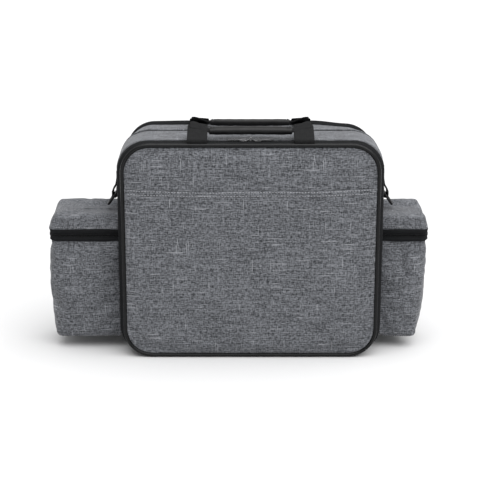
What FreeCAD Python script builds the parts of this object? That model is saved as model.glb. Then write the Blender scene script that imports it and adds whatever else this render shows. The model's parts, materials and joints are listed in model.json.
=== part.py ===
import FreeCAD, Part
import math
import os

# Soft-sided carry bag: a padded box body with a zipped drop-down front panel, a zipped top gusset,
# two folding carry handles, a zip-lidded pouch and a strap ring on each side.
# Frame: +X right, -Y front, +Z up, origin at the centre of the flat base. Millimetres.

V = FreeCAD.Vector
X_AXIS = V(1, 0, 0)
Y_AXIS = V(0, 1, 0)
Z_AXIS = V(0, 0, 1)

# ---- driving dimensions -------------------------------------------------------------------------
BODY_HALF_WIDTH = 207.0      # outside of the side gussets
BODY_TOP = 346.0             # outside of the top gusset
BODY_CORNER = 48.0           # corner radius of the gusset band, seen from the front
GUSSET_FRONT = -62.0         # front edge of the gusset band
GUSSET_REAR = 74.0           # rear edge of the gusset band
GUSSET_SPLIT = 300.0         # height where the side band meets the zipped top band

FABRIC = 1.2                 # thickness of the covering fabric
FOAM_DEPTH = 3.8             # foam behind the gusset fabric
LINING = 0.8                 # thickness of the lining

PANEL_HALF_WIDTH = 200.5     # outside of the piping on the front and back panels
PANEL_LOW = 0.4
PANEL_HIGH = 344.5
PANEL_CORNER = 46.0
PIPING_RADIUS = 3.0
PIPING_Y = 86.0              # piping centre line, in front of and behind the middle of the bag
CORE_INSET = 5.5             # foam and boards stop this far inside the panel's outside edge

POCKET_HEM_HIGH = 274.0      # top edge of the slip pocket on the front panel
POCKET_HEM_LOW = 266.0

TAPE = 0.6                   # thickness of a zip tape
TAPE_INSET = 1.3             # zip tapes lie this far inside the outside of the gusset
ZIP_GAP = 1.2                # between the two coils, for the slider's neck
COIL_WIDTH = 2.4
COIL_DEPTH = 2.2
FRONT_ZIP_Y = -70.0
MAIN_ZIP_Y = 15.0
FRONT_ZIP_LOW = 30.0         # the front zip's two bottom ends

HINGE_Y = -78.0              # fold line of the front panel
HINGE_Z = 13.4

WEB_THICK = 2.0              # carry-handle webbing
WEB_WIDTH = 30.0
WEB_X = 82.0                 # middle of each leg of a handle
HANDLE_Y = 81.9              # fold line of a handle, in front of and behind the middle
HANDLE_Z = 349.0
GRIP_HALF_LENGTH = 65.0
# lean: how far each handle rests from upright, towards the middle; grip: its distance from the fold line
HANDLES = {
    "front": {"side": -1, "lean": 70.0, "grip": 27.0},
    "rear": {"side": 1, "lean": 85.0, "grip": 36.0},
}

POUCH_Y = 2.0                # middle of both pouches
POUCH_LOW = 20.0
POUCH_TOP = 180.0
POUCH_WALL = 1.5
POUCH_CORNER = 14.0
POUCH_INNER_X = 207.3        # face sewn to the side gusset
LID_LOW = 198.8
LID_TOP = 221.5
LID_FOLD_X = 231.0           # fold line of the lids
FOLD_GAP = 0.5
ZIP_SEAM_Z = 189.2           # between the coils of a pouch zip
POUCHES = {
    "left": {"side": -1, "out_low": 311.5, "out_top": 316.0, "lid_out": 319.0, "lid_top_out": 309.5},
    "right": {"side": 1, "out_low": 268.5, "out_top": 278.5, "lid_out": 281.5, "lid_top_out": 272.0},
}
POUCH_HALF_LOW = 46.5        # half of a pouch's depth at its bottom, zip and lid
POUCH_HALF_TOP = 48.0
LID_HALF_LOW = 49.0
LID_HALF_TOP = 45.5

RING_X = 216.0               # pivot of the strap rings
RING_Z = 246.0
RING_WIRE = 2.0
RING_HALF_WIDTH = 14.0
RING_STRAIGHT = 6.0
RING_LEAN = 34.0             # at rest a ring leans outwards from hanging straight
TAB_HALF_WIDTH = 11.0

SLIDER_LENGTH = 12.5
SLIDER_HALF_WIDTH = 4.7
SLIDER_PLATE = 1.2
SLIDER_CLEAR = 0.3
CROWN_HALF_LENGTH = 3.6
CROWN_HALF_WIDTH = 0.8
CROWN_HEIGHT = 3.0
PULL_AXIS_HEIGHT = 1.0       # pull's bar above the slider's top plate
PULL_LENGTH = 25.0

FRONT_SLIDER_X = 11.0        # each side of the middle, with the lock eyes meeting between them
MAIN_SLIDER_X = (-40.0, -26.6)
POUCH_SLIDER_X = 241.0


# ---- helpers ------------------------------------------------------------------------------------
def export(name, shape):
    """Write one node."""
    shape.exportStep("parts/%s.step" % name)


def box(x0, x1, y0, y1, z0, z1):
    return Part.makeBox(x1 - x0, y1 - y0, z1 - z0, V(x0, y0, z0))


def fuse(shapes):
    whole = shapes[0].multiFuse(shapes[1:]) if len(shapes) > 1 else shapes[0]
    return whole.removeSplitter()


def mirror_x(shape):
    return shape.mirror(V(0, 0, 0), X_AXIS)


def panel_face(half, low, high, radius, y):
    """Upright rounded rectangle at depth y."""
    corners = [(half - radius, high - radius, 0), (radius - half, high - radius, 90),
               (radius - half, low + radius, 180), (half - radius, low + radius, 270)]
    arcs = []
    for x, z, start in corners:
        circle = Part.Circle(V(x, y, z), V(0, -1, 0), radius)
        points = []
        for turn in (0, 45, 90):
            angle = math.radians(start + turn)
            points.append(V(x + radius * math.cos(angle), y, z + radius * math.sin(angle)))
        arcs.append(Part.Arc(*points).toShape())
    edges = []
    for index, arc in enumerate(arcs):
        following = arcs[(index + 1) % len(arcs)]
        edges.append(arc)
        edges.append(Part.makeLine(arc.Vertexes[-1].Point, following.Vertexes[0].Point))
    return Part.Face(Part.Wire(edges))


def panel_plate(inset, y0, y1):
    """Plate with the panels' outline, inset from the outside of the piping."""
    face = panel_face(PANEL_HALF_WIDTH - inset, PANEL_LOW + inset, PANEL_HIGH - inset,
                      PANEL_CORNER - inset, y0)
    return face.extrude(V(0, y1 - y0, 0))


def gusset_ring(outer_inset, inner_inset, y0, y1):
    """Closed band that follows the gusset all the way round."""
    solids = []
    for inset in (outer_inset, inner_inset):
        face = panel_face(BODY_HALF_WIDTH - inset, inset, BODY_TOP - inset, BODY_CORNER - inset, y0)
        solids.append(face.extrude(V(0, y1 - y0, 0)))
    return solids[0].cut(solids[1])


def above(z):
    return box(-400, 400, -200, 200, z, 500)


def below(z):
    return box(-400, 400, -200, 200, -100, z)


def piping(y):
    """Round cord round a panel's edge."""
    half = PANEL_HALF_WIDTH - PIPING_RADIUS
    low = PANEL_LOW + PIPING_RADIUS
    high = PANEL_HIGH - PIPING_RADIUS
    radius = PANEL_CORNER - PIPING_RADIUS
    runs = [(V(half - radius, y, high), V(radius - half, y, high)),
            (V(-half, y, high - radius), V(-half, y, low + radius)),
            (V(radius - half, y, low), V(half - radius, y, low)),
            (V(half, y, low + radius), V(half, y, high - radius))]
    centres = [V(radius - half, y, high - radius), V(radius - half, y, low + radius),
               V(half - radius, y, low + radius), V(half - radius, y, high - radius)]
    pieces = []
    for (start, end), centre in zip(runs, centres):
        along = end - start
        straight = Part.Face(Part.Wire(Part.makeCircle(PIPING_RADIUS, start, along)))
        pieces.append(straight.extrude(along))
        bend = Part.Face(Part.Wire(Part.makeCircle(PIPING_RADIUS, end, along)))
        pieces.append(bend.revolve(centre, V(0, -1, 0), 90))
    return fuse(pieces)


# ---- body ---------------------------------------------------------------------------------------
def build_gussets():
    foam_rear = GUSSET_REAR
    foam_front = GUSSET_FRONT + 6.0
    zip_clear = 13.5                     # foam and lining stop this far from the main zip
    fabric_gap = 1.5                     # half of the slit that shows the main zip
    band = gusset_ring(0, FABRIC, GUSSET_FRONT, GUSSET_REAR)
    export("side_base_gusset", band.common(below(GUSSET_SPLIT)))
    front = gusset_ring(0, FABRIC, GUSSET_FRONT, MAIN_ZIP_Y - fabric_gap)
    export("top_gusset_front", front.common(above(GUSSET_SPLIT)))
    rear = gusset_ring(0, FABRIC, MAIN_ZIP_Y + fabric_gap, GUSSET_REAR)
    export("top_gusset_rear", rear.common(above(GUSSET_SPLIT)))

    for name, outer, inner in (("gusset_foam", FABRIC, FABRIC + FOAM_DEPTH),
                               ("gusset_lining", FABRIC + FOAM_DEPTH, FABRIC + FOAM_DEPTH + LINING)):
        lower = gusset_ring(outer, inner, foam_front, foam_rear).common(below(GUSSET_SPLIT - 0.3))
        front = gusset_ring(outer, inner, foam_front, MAIN_ZIP_Y - zip_clear).common(above(GUSSET_SPLIT))
        rear = gusset_ring(outer, inner, MAIN_ZIP_Y + zip_clear, foam_rear).common(above(GUSSET_SPLIT))
        export(name, Part.makeCompound([lower, front, rear]))

    board_half = BODY_HALF_WIDTH - BODY_CORNER - 2.0
    board_low = FABRIC + FOAM_DEPTH + LINING + 0.1
    export("base_board", box(-board_half, board_half, foam_front, foam_rear, board_low, board_low + 2.5))


def build_back():
    export("back_lining", panel_plate(CORE_INSET, 79.0, 79.0 + LINING))
    export("back_board", panel_plate(CORE_INSET, 81.0, 83.0))
    export("back_foam", panel_plate(CORE_INSET + 1.0, 83.2, 87.7))
    export("back_cover", panel_plate(CORE_INSET + 0.8, 87.9, 87.9 + FABRIC))
    export("back_piping", piping(PIPING_Y))
    wall = gusset_ring(0.5, 1.3, GUSSET_REAR, 80.7)
    flange = gusset_ring(1.3, 13.5, 79.9, 80.7)
    export("back_binding", wall.fuse(flange).removeSplitter())


def tape_ring(y0, y1):
    return gusset_ring(TAPE_INSET, TAPE_INSET + TAPE, y0, y1)


def coil_ring(y0, y1, inset):
    return gusset_ring(inset, inset + COIL_DEPTH, y0, y1)


def build_body_zips():
    coil_inset = 0.6
    body_edge = FRONT_ZIP_Y + ZIP_GAP / 2
    tape = tape_ring(body_edge, GUSSET_FRONT + 5.0)
    coil = coil_ring(body_edge, body_edge + COIL_WIDTH, coil_inset)
    export("front_zip_tape_body", tape.fuse(coil).removeSplitter().common(above(FRONT_ZIP_LOW)))

    panel_edge = FRONT_ZIP_Y - ZIP_GAP / 2
    tape = tape_ring(-80.6, panel_edge)
    coil = coil_ring(panel_edge - COIL_WIDTH, panel_edge, coil_inset)
    flange = gusset_ring(TAPE_INSET, 13.5, -80.6, -79.8)
    whole = tape.fuse(coil).fuse(flange).removeSplitter()
    export("front_zip_tape_panel", whole.common(above(FRONT_ZIP_LOW)))

    concealed_inset = TAPE_INSET + TAPE
    tape_width = 12.4
    zip_ends_z = GUSSET_SPLIT + 5.0
    front_edge = MAIN_ZIP_Y - ZIP_GAP / 2
    rear_edge = MAIN_ZIP_Y + ZIP_GAP / 2
    front = tape_ring(front_edge - tape_width, front_edge)
    front = front.fuse(coil_ring(front_edge - COIL_WIDTH, front_edge, concealed_inset))
    export("main_zip_tape_front", front.removeSplitter().common(above(zip_ends_z)))
    rear = tape_ring(rear_edge, rear_edge + tape_width)
    rear = rear.fuse(coil_ring(rear_edge, rear_edge + COIL_WIDTH, concealed_inset))
    export("main_zip_tape_rear", rear.removeSplitter().common(above(zip_ends_z)))


def build_hinge_strip():
    """Fabric strip from the base gusset up to the front panel's fold line."""
    half = BODY_HALF_WIDTH - BODY_CORNER - 1.0
    foot = box(-half, half, -63.8, -58.2, 1.25, 2.25)
    upright = box(-half, half, -63.8, -62.8, 1.25, HINGE_Z + 1.4)
    lip = box(-half, half, HINGE_Y + 0.4, -62.8, HINGE_Z + 0.4, HINGE_Z + 1.4)
    export("panel_hinge_strip", fuse([foot, upright, lip]))


# ---- front panel --------------------------------------------------------------------------------
def build_front_panel():
    cover_inset = CORE_INSET + 0.8
    export("front_inner_mat", panel_plate(CORE_INSET, -79.7, -78.6))
    export("front_board", panel_plate(CORE_INSET, -83.0, -81.0))
    export("front_foam", panel_plate(CORE_INSET + 1.0, -88.0, -83.2))
    export("front_cover", panel_plate(cover_inset, -89.3, -88.1))
    pocket = panel_plate(cover_inset, -90.5, -89.4).common(below(POCKET_HEM_LOW))
    export("slip_pocket", pocket)
    hem = panel_plate(cover_inset, -91.0, -89.4)
    export("pocket_hem", hem.common(below(POCKET_HEM_HIGH)).common(above(POCKET_HEM_LOW)))
    export("front_piping", piping(-PIPING_Y))


# ---- handles ------------------------------------------------------------------------------------
def handle_webbing(grip_s):
    """Both legs and the folded strip inside the grip, upright, with the fold line on the X axis."""
    half = WEB_WIDTH / 2
    inner = WEB_X - half
    outer = WEB_X + half
    profile = [V(inner, 0, 0.8), V(outer, 0, 0.8), V(outer, 0, 40.0), V(outer - 5.0, 0, 52.0),
               V(inner, 0, 44.0)]
    leg = Part.Face(Part.makePolygon(profile + profile[:1])).extrude(V(0, WEB_THICK, 0))
    leg.translate(V(0, -WEB_THICK / 2, 0))
    core = box(-inner - 1.0, inner + 1.0, -1.6, 1.6, grip_s - 4.5, grip_s + 4.5)
    return fuse([leg, mirror_x(leg), core])


def handle_grip(grip_s):
    """Wrapped grip round the folded strip."""
    half_s = 7.2
    half_t = 5.6
    grip = box(-GRIP_HALF_LENGTH, GRIP_HALF_LENGTH, -half_t, half_t, grip_s - half_s, grip_s + half_s)
    long_edges = [edge for edge in grip.Edges if abs(edge.Length - 2 * GRIP_HALF_LENGTH) < 0.01]
    grip = grip.makeFillet(4.0, long_edges)
    core = box(-200, 200, -1.7, 1.7, grip_s - 4.6, grip_s + 4.6)
    return grip.cut(core)


def build_handles():
    stub_low = 340.2
    for name, spec in HANDLES.items():
        side = spec["side"]
        for part, shape in (("webbing", handle_webbing(spec["grip"])), ("grip", handle_grip(spec["grip"]))):
            shape.rotate(V(0, 0, 0), X_AXIS, side * spec["lean"])
            shape.translate(V(0, side * HANDLE_Y, HANDLE_Z))
            export("%s_handle_%s" % (name, part), shape)
        stub = box(WEB_X - WEB_WIDTH / 2, WEB_X + WEB_WIDTH / 2, side * HANDLE_Y - WEB_THICK / 2,
                   side * HANDLE_Y + WEB_THICK / 2, stub_low, HANDLE_Z - 1.2)
        export("%s_handle_anchors" % name, Part.makeCompound([stub, mirror_x(stub)]))


# ---- side pouches -------------------------------------------------------------------------------
def pouch_wire(out, half, z, inset=0.0):
    """Plan outline of a right-hand pouch: square against the bag, rounded outside."""
    x0 = POUCH_INNER_X + inset
    x1 = out - inset
    y0 = POUCH_Y - half + inset
    y1 = POUCH_Y + half - inset
    radius = POUCH_CORNER - inset
    middle = radius * (1 - math.sqrt(0.5))
    edges = [
        Part.makeLine(V(x0, y0, z), V(x1 - radius, y0, z)),
        Part.Arc(V(x1 - radius, y0, z), V(x1 - middle, y0 + middle, z), V(x1, y0 + radius, z)).toShape(),
        Part.makeLine(V(x1, y0 + radius, z), V(x1, y1 - radius, z)),
        Part.Arc(V(x1, y1 - radius, z), V(x1 - middle, y1 - middle, z), V(x1 - radius, y1, z)).toShape(),
        Part.makeLine(V(x1 - radius, y1, z), V(x0, y1, z)),
        Part.makeLine(V(x0, y1, z), V(x0, y0, z)),
    ]
    return Part.Wire(edges)


def pouch_solid(low, high, inset=0.0):
    """Block between two plan outlines, each given as (out, half, z)."""
    wires = [pouch_wire(out, half, z, inset) for out, half, z in (low, high)]
    return Part.makeLoft(wires, True, True)


def between(low, high, z):
    """Plan outline part of the way up a sloped wall."""
    share = (z - low[2]) / (high[2] - low[2])
    return (low[0] + share * (high[0] - low[0]), low[1] + share * (high[1] - low[1]), z)


def pouch_band(out, half, z0, z1, outer_inset, inner_inset):
    """Three-sided upright band, open against the bag."""
    outer = pouch_solid((out, half, z0), (out, half, z1), outer_inset)
    inner = pouch_solid((out, half, z0 - 1), (out, half, z1 + 1), inner_inset)
    band = outer.cut(inner)
    return band.cut(box(0, POUCH_INNER_X + inner_inset + 0.1, -200, 200, z0 - 1, z1 + 1))


def zip_half(out, half, seam, edge):
    """Tape and coil from the seam to the sewn edge."""
    z0, z1 = sorted((seam, edge))
    toward_edge = 1 if edge > seam else -1
    coil_end = seam + toward_edge * COIL_WIDTH
    c0, c1 = sorted((seam, coil_end))
    tape = pouch_band(out, half, z0, z1, 0.4, 1.0)
    coil = pouch_band(out, half, c0, c1, -0.4, 1.8)
    return tape.fuse(coil).removeSplitter()


def build_pouch(name, spec):
    low = (spec["out_low"], POUCH_HALF_LOW, POUCH_LOW)
    top = (spec["out_top"], POUCH_HALF_TOP, POUCH_TOP)
    floor = between(low, top, POUCH_LOW + POUCH_WALL)
    over = between(low, top, POUCH_TOP + 1.0)
    shell = pouch_solid(low, top).cut(pouch_solid(floor, over, POUCH_WALL))
    lining_low = between(low, top, POUCH_LOW + POUCH_WALL + 0.1)
    lining_floor = between(low, top, POUCH_LOW + POUCH_WALL + 0.1 + LINING)
    lining_top = between(low, top, POUCH_TOP - 6.0)
    lining_over = between(low, top, POUCH_TOP - 5.0)
    gap = POUCH_WALL + 0.1
    lining = pouch_solid(lining_low, lining_top, gap)
    lining = lining.cut(pouch_solid(lining_floor, lining_over, gap + LINING))

    out = spec["out_top"] + 1.0
    half = POUCH_HALF_TOP + 0.5
    lower_zip = zip_half(out, half, ZIP_SEAM_Z - ZIP_GAP / 2, POUCH_TOP)
    upper_zip = zip_half(out, half, ZIP_SEAM_Z + ZIP_GAP / 2, LID_LOW)

    lid_low = (spec["lid_out"], LID_HALF_LOW, LID_LOW)
    lid_top = (spec["lid_top_out"], LID_HALF_TOP, LID_TOP)
    under = between(lid_low, lid_top, LID_LOW - 1.0)
    ceiling = between(lid_low, lid_top, LID_TOP - POUCH_WALL)
    cap = pouch_solid(lid_low, lid_top).cut(pouch_solid(under, ceiling, POUCH_WALL))

    fixed_side = box(0, LID_FOLD_X, -200, 200, 0, 400)
    moving_side = box(LID_FOLD_X + FOLD_GAP, 400, -200, 200, 0, 400)
    zip_ends = upper_zip.common(fixed_side).Solids
    nodes = {
        "pouch_shell": shell,
        "pouch_lining": lining,
        "pouch_zip_tape": Part.makeCompound([lower_zip] + zip_ends),
        "lid_root": cap.common(fixed_side),
        "lid_shell": cap.common(moving_side),
        "lid_zip_tape": upper_zip.common(moving_side),
    }
    for part, shape in nodes.items():
        export("%s_%s" % (name, part), mirror_x(shape) if spec["side"] < 0 else shape)


# ---- strap rings --------------------------------------------------------------------------------
def d_ring():
    """D-shaped ring hanging from its straight bar, which lies on the Y axis."""
    wire = RING_WIRE
    half = RING_HALF_WIDTH
    bar = Part.makeCylinder(wire, 2 * half, V(0, -half, 0), Y_AXIS)
    pieces = [bar]
    for side in (-1, 1):
        pieces.append(Part.makeSphere(wire, V(0, side * half, 0)))
        pieces.append(Part.makeCylinder(wire, RING_STRAIGHT, V(0, side * half, 0), V(0, 0, -1)))
    section = Part.Face(Part.Wire(Part.makeCircle(wire, V(0, half, -RING_STRAIGHT), Z_AXIS)))
    pieces.append(section.revolve(V(0, 0, -RING_STRAIGHT), V(-1, 0, 0), 180))
    return fuse(pieces)


def ring_tab():
    """Webbing sewn to the side gusset at its top and looped round the ring's bar."""
    sewn_top = RING_Z + 39.0
    outer = 4.3
    hole = RING_WIRE + 0.4
    profile = [V(BODY_HALF_WIDTH + 0.2, 0, sewn_top), V(BODY_HALF_WIDTH + 2.2, 0, sewn_top),
               V(RING_X + outer - 0.9, 0, RING_Z + 2.0), V(RING_X - outer + 0.6, 0, RING_Z + 2.0)]
    strap = Part.Face(Part.makePolygon(profile + profile[:1])).extrude(V(0, 2 * TAB_HALF_WIDTH, 0))
    strap.translate(V(0, -TAB_HALF_WIDTH, 0))
    loop = Part.makeCylinder(outer, 2 * TAB_HALF_WIDTH, V(RING_X, -TAB_HALF_WIDTH, RING_Z), Y_AXIS)
    bore = Part.makeCylinder(hole, 2 * TAB_HALF_WIDTH + 2, V(RING_X, -TAB_HALF_WIDTH - 1, RING_Z), Y_AXIS)
    return strap.fuse(loop).cut(bore).removeSplitter()


def build_rings():
    ring = d_ring()
    ring.rotate(V(0, 0, 0), Y_AXIS, -RING_LEAN)
    ring.translate(V(RING_X, 0, RING_Z))
    tab = ring_tab()
    export("right_d_ring", ring)
    export("right_ring_tab", tab)
    export("left_d_ring", mirror_x(ring))
    export("left_ring_tab", mirror_x(tab))


# ---- zip sliders and pulls ----------------------------------------------------------------------
def slider_body(plate_low, under_low):
    """Slider on a zip along X: top plate from plate_low, bottom plate from under_low, both along Z."""
    half = SLIDER_LENGTH / 2
    plates = []
    for z in (plate_low, under_low):
        plate = box(-half, half, -SLIDER_HALF_WIDTH, SLIDER_HALF_WIDTH, z, z + SLIDER_PLATE)
        uprights = [edge for edge in plate.Edges if abs(edge.Length - SLIDER_PLATE) < 0.01]
        plates.append(plate.makeFillet(3.2, uprights))
    neck = box(-2.5, 2.5, -0.3, 0.3, under_low + 0.5, plate_low + 0.5)
    top = plate_low + SLIDER_PLATE
    crown = box(-CROWN_HALF_LENGTH, CROWN_HALF_LENGTH, -CROWN_HALF_WIDTH, CROWN_HALF_WIDTH,
                top - 0.2, top + CROWN_HEIGHT)
    window = box(1.2 - CROWN_HALF_LENGTH, CROWN_HALF_LENGTH - 1.2, -2, 2, top, top + CROWN_HEIGHT - 1.0)
    return fuse(plates + [neck, crown.cut(window)])


def lock_eye(toward, lane, top):
    """Padlock eye on an arm from the slider's inner end; toward is +1 or -1 along X."""
    reach = FRONT_SLIDER_X
    centre_z = top + 1.7
    y0, y1 = sorted((lane * 0.4, lane * 1.6))
    eye = Part.makeCylinder(2.9, y1 - y0, V(toward * reach, y0, centre_z), Y_AXIS)
    x0, x1 = sorted((toward * 5.0, toward * (reach - 2.0)))
    arm = box(x0, x1, y0, y1, top - 0.3, top + 1.2)
    hole = Part.makeCylinder(1.6, y1 - y0 + 2, V(toward * reach, y0 - 1, centre_z), Y_AXIS)
    return eye.fuse(arm).cut(hole)


def pull_tab(top, toward):
    """Pull lying along X from its bar, which passes through the crown."""
    z = top + PULL_AXIS_HEIGHT
    bar = Part.makeCylinder(0.65, 5.2, V(0, -2.6, z), Y_AXIS)
    pieces = [bar]
    for side in (-1, 1):
        y0, y1 = sorted((side * 1.3, side * 2.6))
        pieces.append(box(0, 6.0, y0, y1, z - 0.65, z + 0.65))
    blade = box(5.2, PULL_LENGTH, -2.6, 2.6, z - 0.65, z + 0.65)
    uprights = [edge for edge in blade.Edges
                if abs(edge.Length - 1.3) < 0.01 and edge.CenterOfMass.x > PULL_LENGTH - 1]
    pieces.append(blade.makeFillet(2.0, uprights))
    pull = fuse(pieces)
    return pull if toward > 0 else mirror_x(pull)


def build_sliders():
    coil_top = BODY_TOP - 0.6
    plate = coil_top + SLIDER_CLEAR
    under = coil_top - COIL_DEPTH - SLIDER_CLEAR - SLIDER_PLATE
    for name, side in (("left", -1), ("right", 1)):
        at = V(side * FRONT_SLIDER_X, FRONT_ZIP_Y, 0)
        slider = slider_body(plate, under).fuse(lock_eye(-side, side, plate + SLIDER_PLATE))
        pull = pull_tab(plate + SLIDER_PLATE, side)
        for part, shape in (("slider", slider.removeSplitter()), ("pull", pull)):
            shape.translate(at)
            export("front_%s_%s" % (part, name), shape)

    plate = BODY_TOP + 0.4
    under = BODY_TOP - TAPE_INSET - TAPE - COIL_DEPTH - SLIDER_CLEAR - SLIDER_PLATE
    for name, side, x in (("left", -1, MAIN_SLIDER_X[0]), ("right", 1, MAIN_SLIDER_X[1])):
        slider = slider_body(plate, under)
        pull = pull_tab(plate + SLIDER_PLATE, side)
        for part, shape in (("slider", slider), ("pull", pull)):
            shape.translate(V(x, MAIN_ZIP_Y, 0))
            export("main_%s_%s" % (part, name), shape)

    for name, spec in POUCHES.items():
        rear_face = POUCH_Y + POUCH_HALF_TOP + 0.5
        plate = 0.4 + SLIDER_CLEAR
        under = 0.4 - COIL_DEPTH - SLIDER_CLEAR - SLIDER_PLATE
        slider = slider_body(plate, under)
        pull = pull_tab(plate + SLIDER_PLATE, 1)
        for part, shape in (("slider", slider), ("pull", pull)):
            shape.rotate(V(0, 0, 0), X_AXIS, -90)
            shape.translate(V(POUCH_SLIDER_X, rear_face, ZIP_SEAM_Z))
            export("%s_pouch_%s" % (name, part), mirror_x(shape) if spec["side"] < 0 else shape)


def main():
    os.makedirs("parts", exist_ok=True)
    build_gussets()
    build_back()
    build_body_zips()
    build_hinge_strip()
    build_front_panel()
    build_handles()
    for name, spec in POUCHES.items():
        build_pouch(name, spec)
    build_rings()
    build_sliders()


main()
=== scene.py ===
"""Soft-sided salon carry bag: cloth, piping, zips, handles, pouches and rings built round its fixed frame."""
import json
import logging
import math
from dataclasses import dataclass, replace
from enum import Enum
from functools import cache
from typing import Any, Callable, Sequence

import bmesh
import bpy
import numpy as np
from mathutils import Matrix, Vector, noise

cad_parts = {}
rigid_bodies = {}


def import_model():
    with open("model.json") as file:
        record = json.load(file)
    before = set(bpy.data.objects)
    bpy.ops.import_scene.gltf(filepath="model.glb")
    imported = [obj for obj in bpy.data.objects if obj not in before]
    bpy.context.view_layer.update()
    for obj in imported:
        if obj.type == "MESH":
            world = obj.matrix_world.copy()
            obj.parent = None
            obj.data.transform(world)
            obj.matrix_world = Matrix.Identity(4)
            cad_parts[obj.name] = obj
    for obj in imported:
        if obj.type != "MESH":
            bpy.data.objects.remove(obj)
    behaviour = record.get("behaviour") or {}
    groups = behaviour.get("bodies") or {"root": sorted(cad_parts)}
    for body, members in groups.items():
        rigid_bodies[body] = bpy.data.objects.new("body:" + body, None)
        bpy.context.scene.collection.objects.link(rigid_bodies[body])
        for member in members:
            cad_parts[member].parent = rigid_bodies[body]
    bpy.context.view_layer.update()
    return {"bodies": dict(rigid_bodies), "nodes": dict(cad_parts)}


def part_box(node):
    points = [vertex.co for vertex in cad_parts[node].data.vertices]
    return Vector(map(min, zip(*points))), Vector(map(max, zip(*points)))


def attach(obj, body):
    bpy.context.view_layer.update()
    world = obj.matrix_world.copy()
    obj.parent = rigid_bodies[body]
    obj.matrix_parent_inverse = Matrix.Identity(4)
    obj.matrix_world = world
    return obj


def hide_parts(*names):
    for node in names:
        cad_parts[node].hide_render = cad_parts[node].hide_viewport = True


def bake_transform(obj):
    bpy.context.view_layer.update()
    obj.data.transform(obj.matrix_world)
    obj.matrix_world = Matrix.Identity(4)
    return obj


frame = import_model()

log = logging.getLogger("carry_bag")
MM = 0.001
Piece = bpy.types.Object
Triple = tuple[float, float, float]


# ---- shader maths ----
class Num:
    """A number socket that adds Math nodes when it is used in an expression."""

    def __init__(self, graph: "Graph", socket: Any) -> None:
        """Wrap one output socket of a graph."""
        self.graph = graph
        self.socket = socket

    def math(self, operation: str, *others: Any) -> "Num":
        """Add a Math node on this number and the others."""
        inputs = dict(enumerate((self, *others)))
        return self.graph.num(self.graph.node("ShaderNodeMath", {"operation": operation}, inputs))

    def __add__(self, other: Any) -> "Num":
        """Sum."""
        return self.math("ADD", other)

    def __sub__(self, other: Any) -> "Num":
        """Difference."""
        return self.math("SUBTRACT", other)

    def __mul__(self, other: Any) -> "Num":
        """Product."""
        return self.math("MULTIPLY", other)

    def __rsub__(self, other: Any) -> "Num":
        """Difference with a number on the left."""
        made = self.graph.node("ShaderNodeMath", {"operation": "SUBTRACT"}, {0: other, 1: self})
        return Num(self.graph, made.outputs[0])

    __radd__ = __add__
    __rmul__ = __mul__

    def wave(self) -> "Num":
        """Sine."""
        return self.math("SINE")

    def size(self) -> "Num":
        """Absolute value."""
        return self.math("ABSOLUTE")

    def part(self) -> "Num":
        """Fractional part."""
        return self.math("FRACT")

    def ramp(self, low: float, high: float) -> "Num":
        """Smooth step, 0 at low and 1 at high."""
        made = self.graph.node("ShaderNodeMapRange", {"interpolation_type": "SMOOTHSTEP"},
                               {"Value": self, "From Min": low, "From Max": high})
        return Num(self.graph, made.outputs[0])


class Graph:
    """Builds the nodes of one material or one geometry tree."""

    def __init__(self, tree: bpy.types.NodeTree) -> None:
        """Start on a tree."""
        self.tree = tree

    def node(self, kind: str, settings: dict[str, Any] | None = None,
             inputs: dict[Any, Any] | None = None) -> bpy.types.Node:
        """Add one node.

        Args:
            kind: the node's type name.
            settings: attributes to set first.
            inputs: socket name or index to a value, a socket or a Num.

        Returns:
            The node.
        """
        made = self.tree.nodes.new(kind)
        for key, value in (settings or {}).items():
            setattr(made, key, value)
        for key, value in (inputs or {}).items():
            value = value.socket if isinstance(value, Num) else value
            if isinstance(value, bpy.types.NodeSocket):
                self.tree.links.new(value, made.inputs[key])
            else:
                made.inputs[key].default_value = value
        return made

    def num(self, made: bpy.types.Node, output: Any = 0) -> Num:
        """Wrap a node's output as a number."""
        return Num(self, made.outputs[output])


class Space(Enum):
    """Where a pattern takes its coordinates from."""

    CLOTH = "cloth"
    OBJECT = "object"


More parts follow.
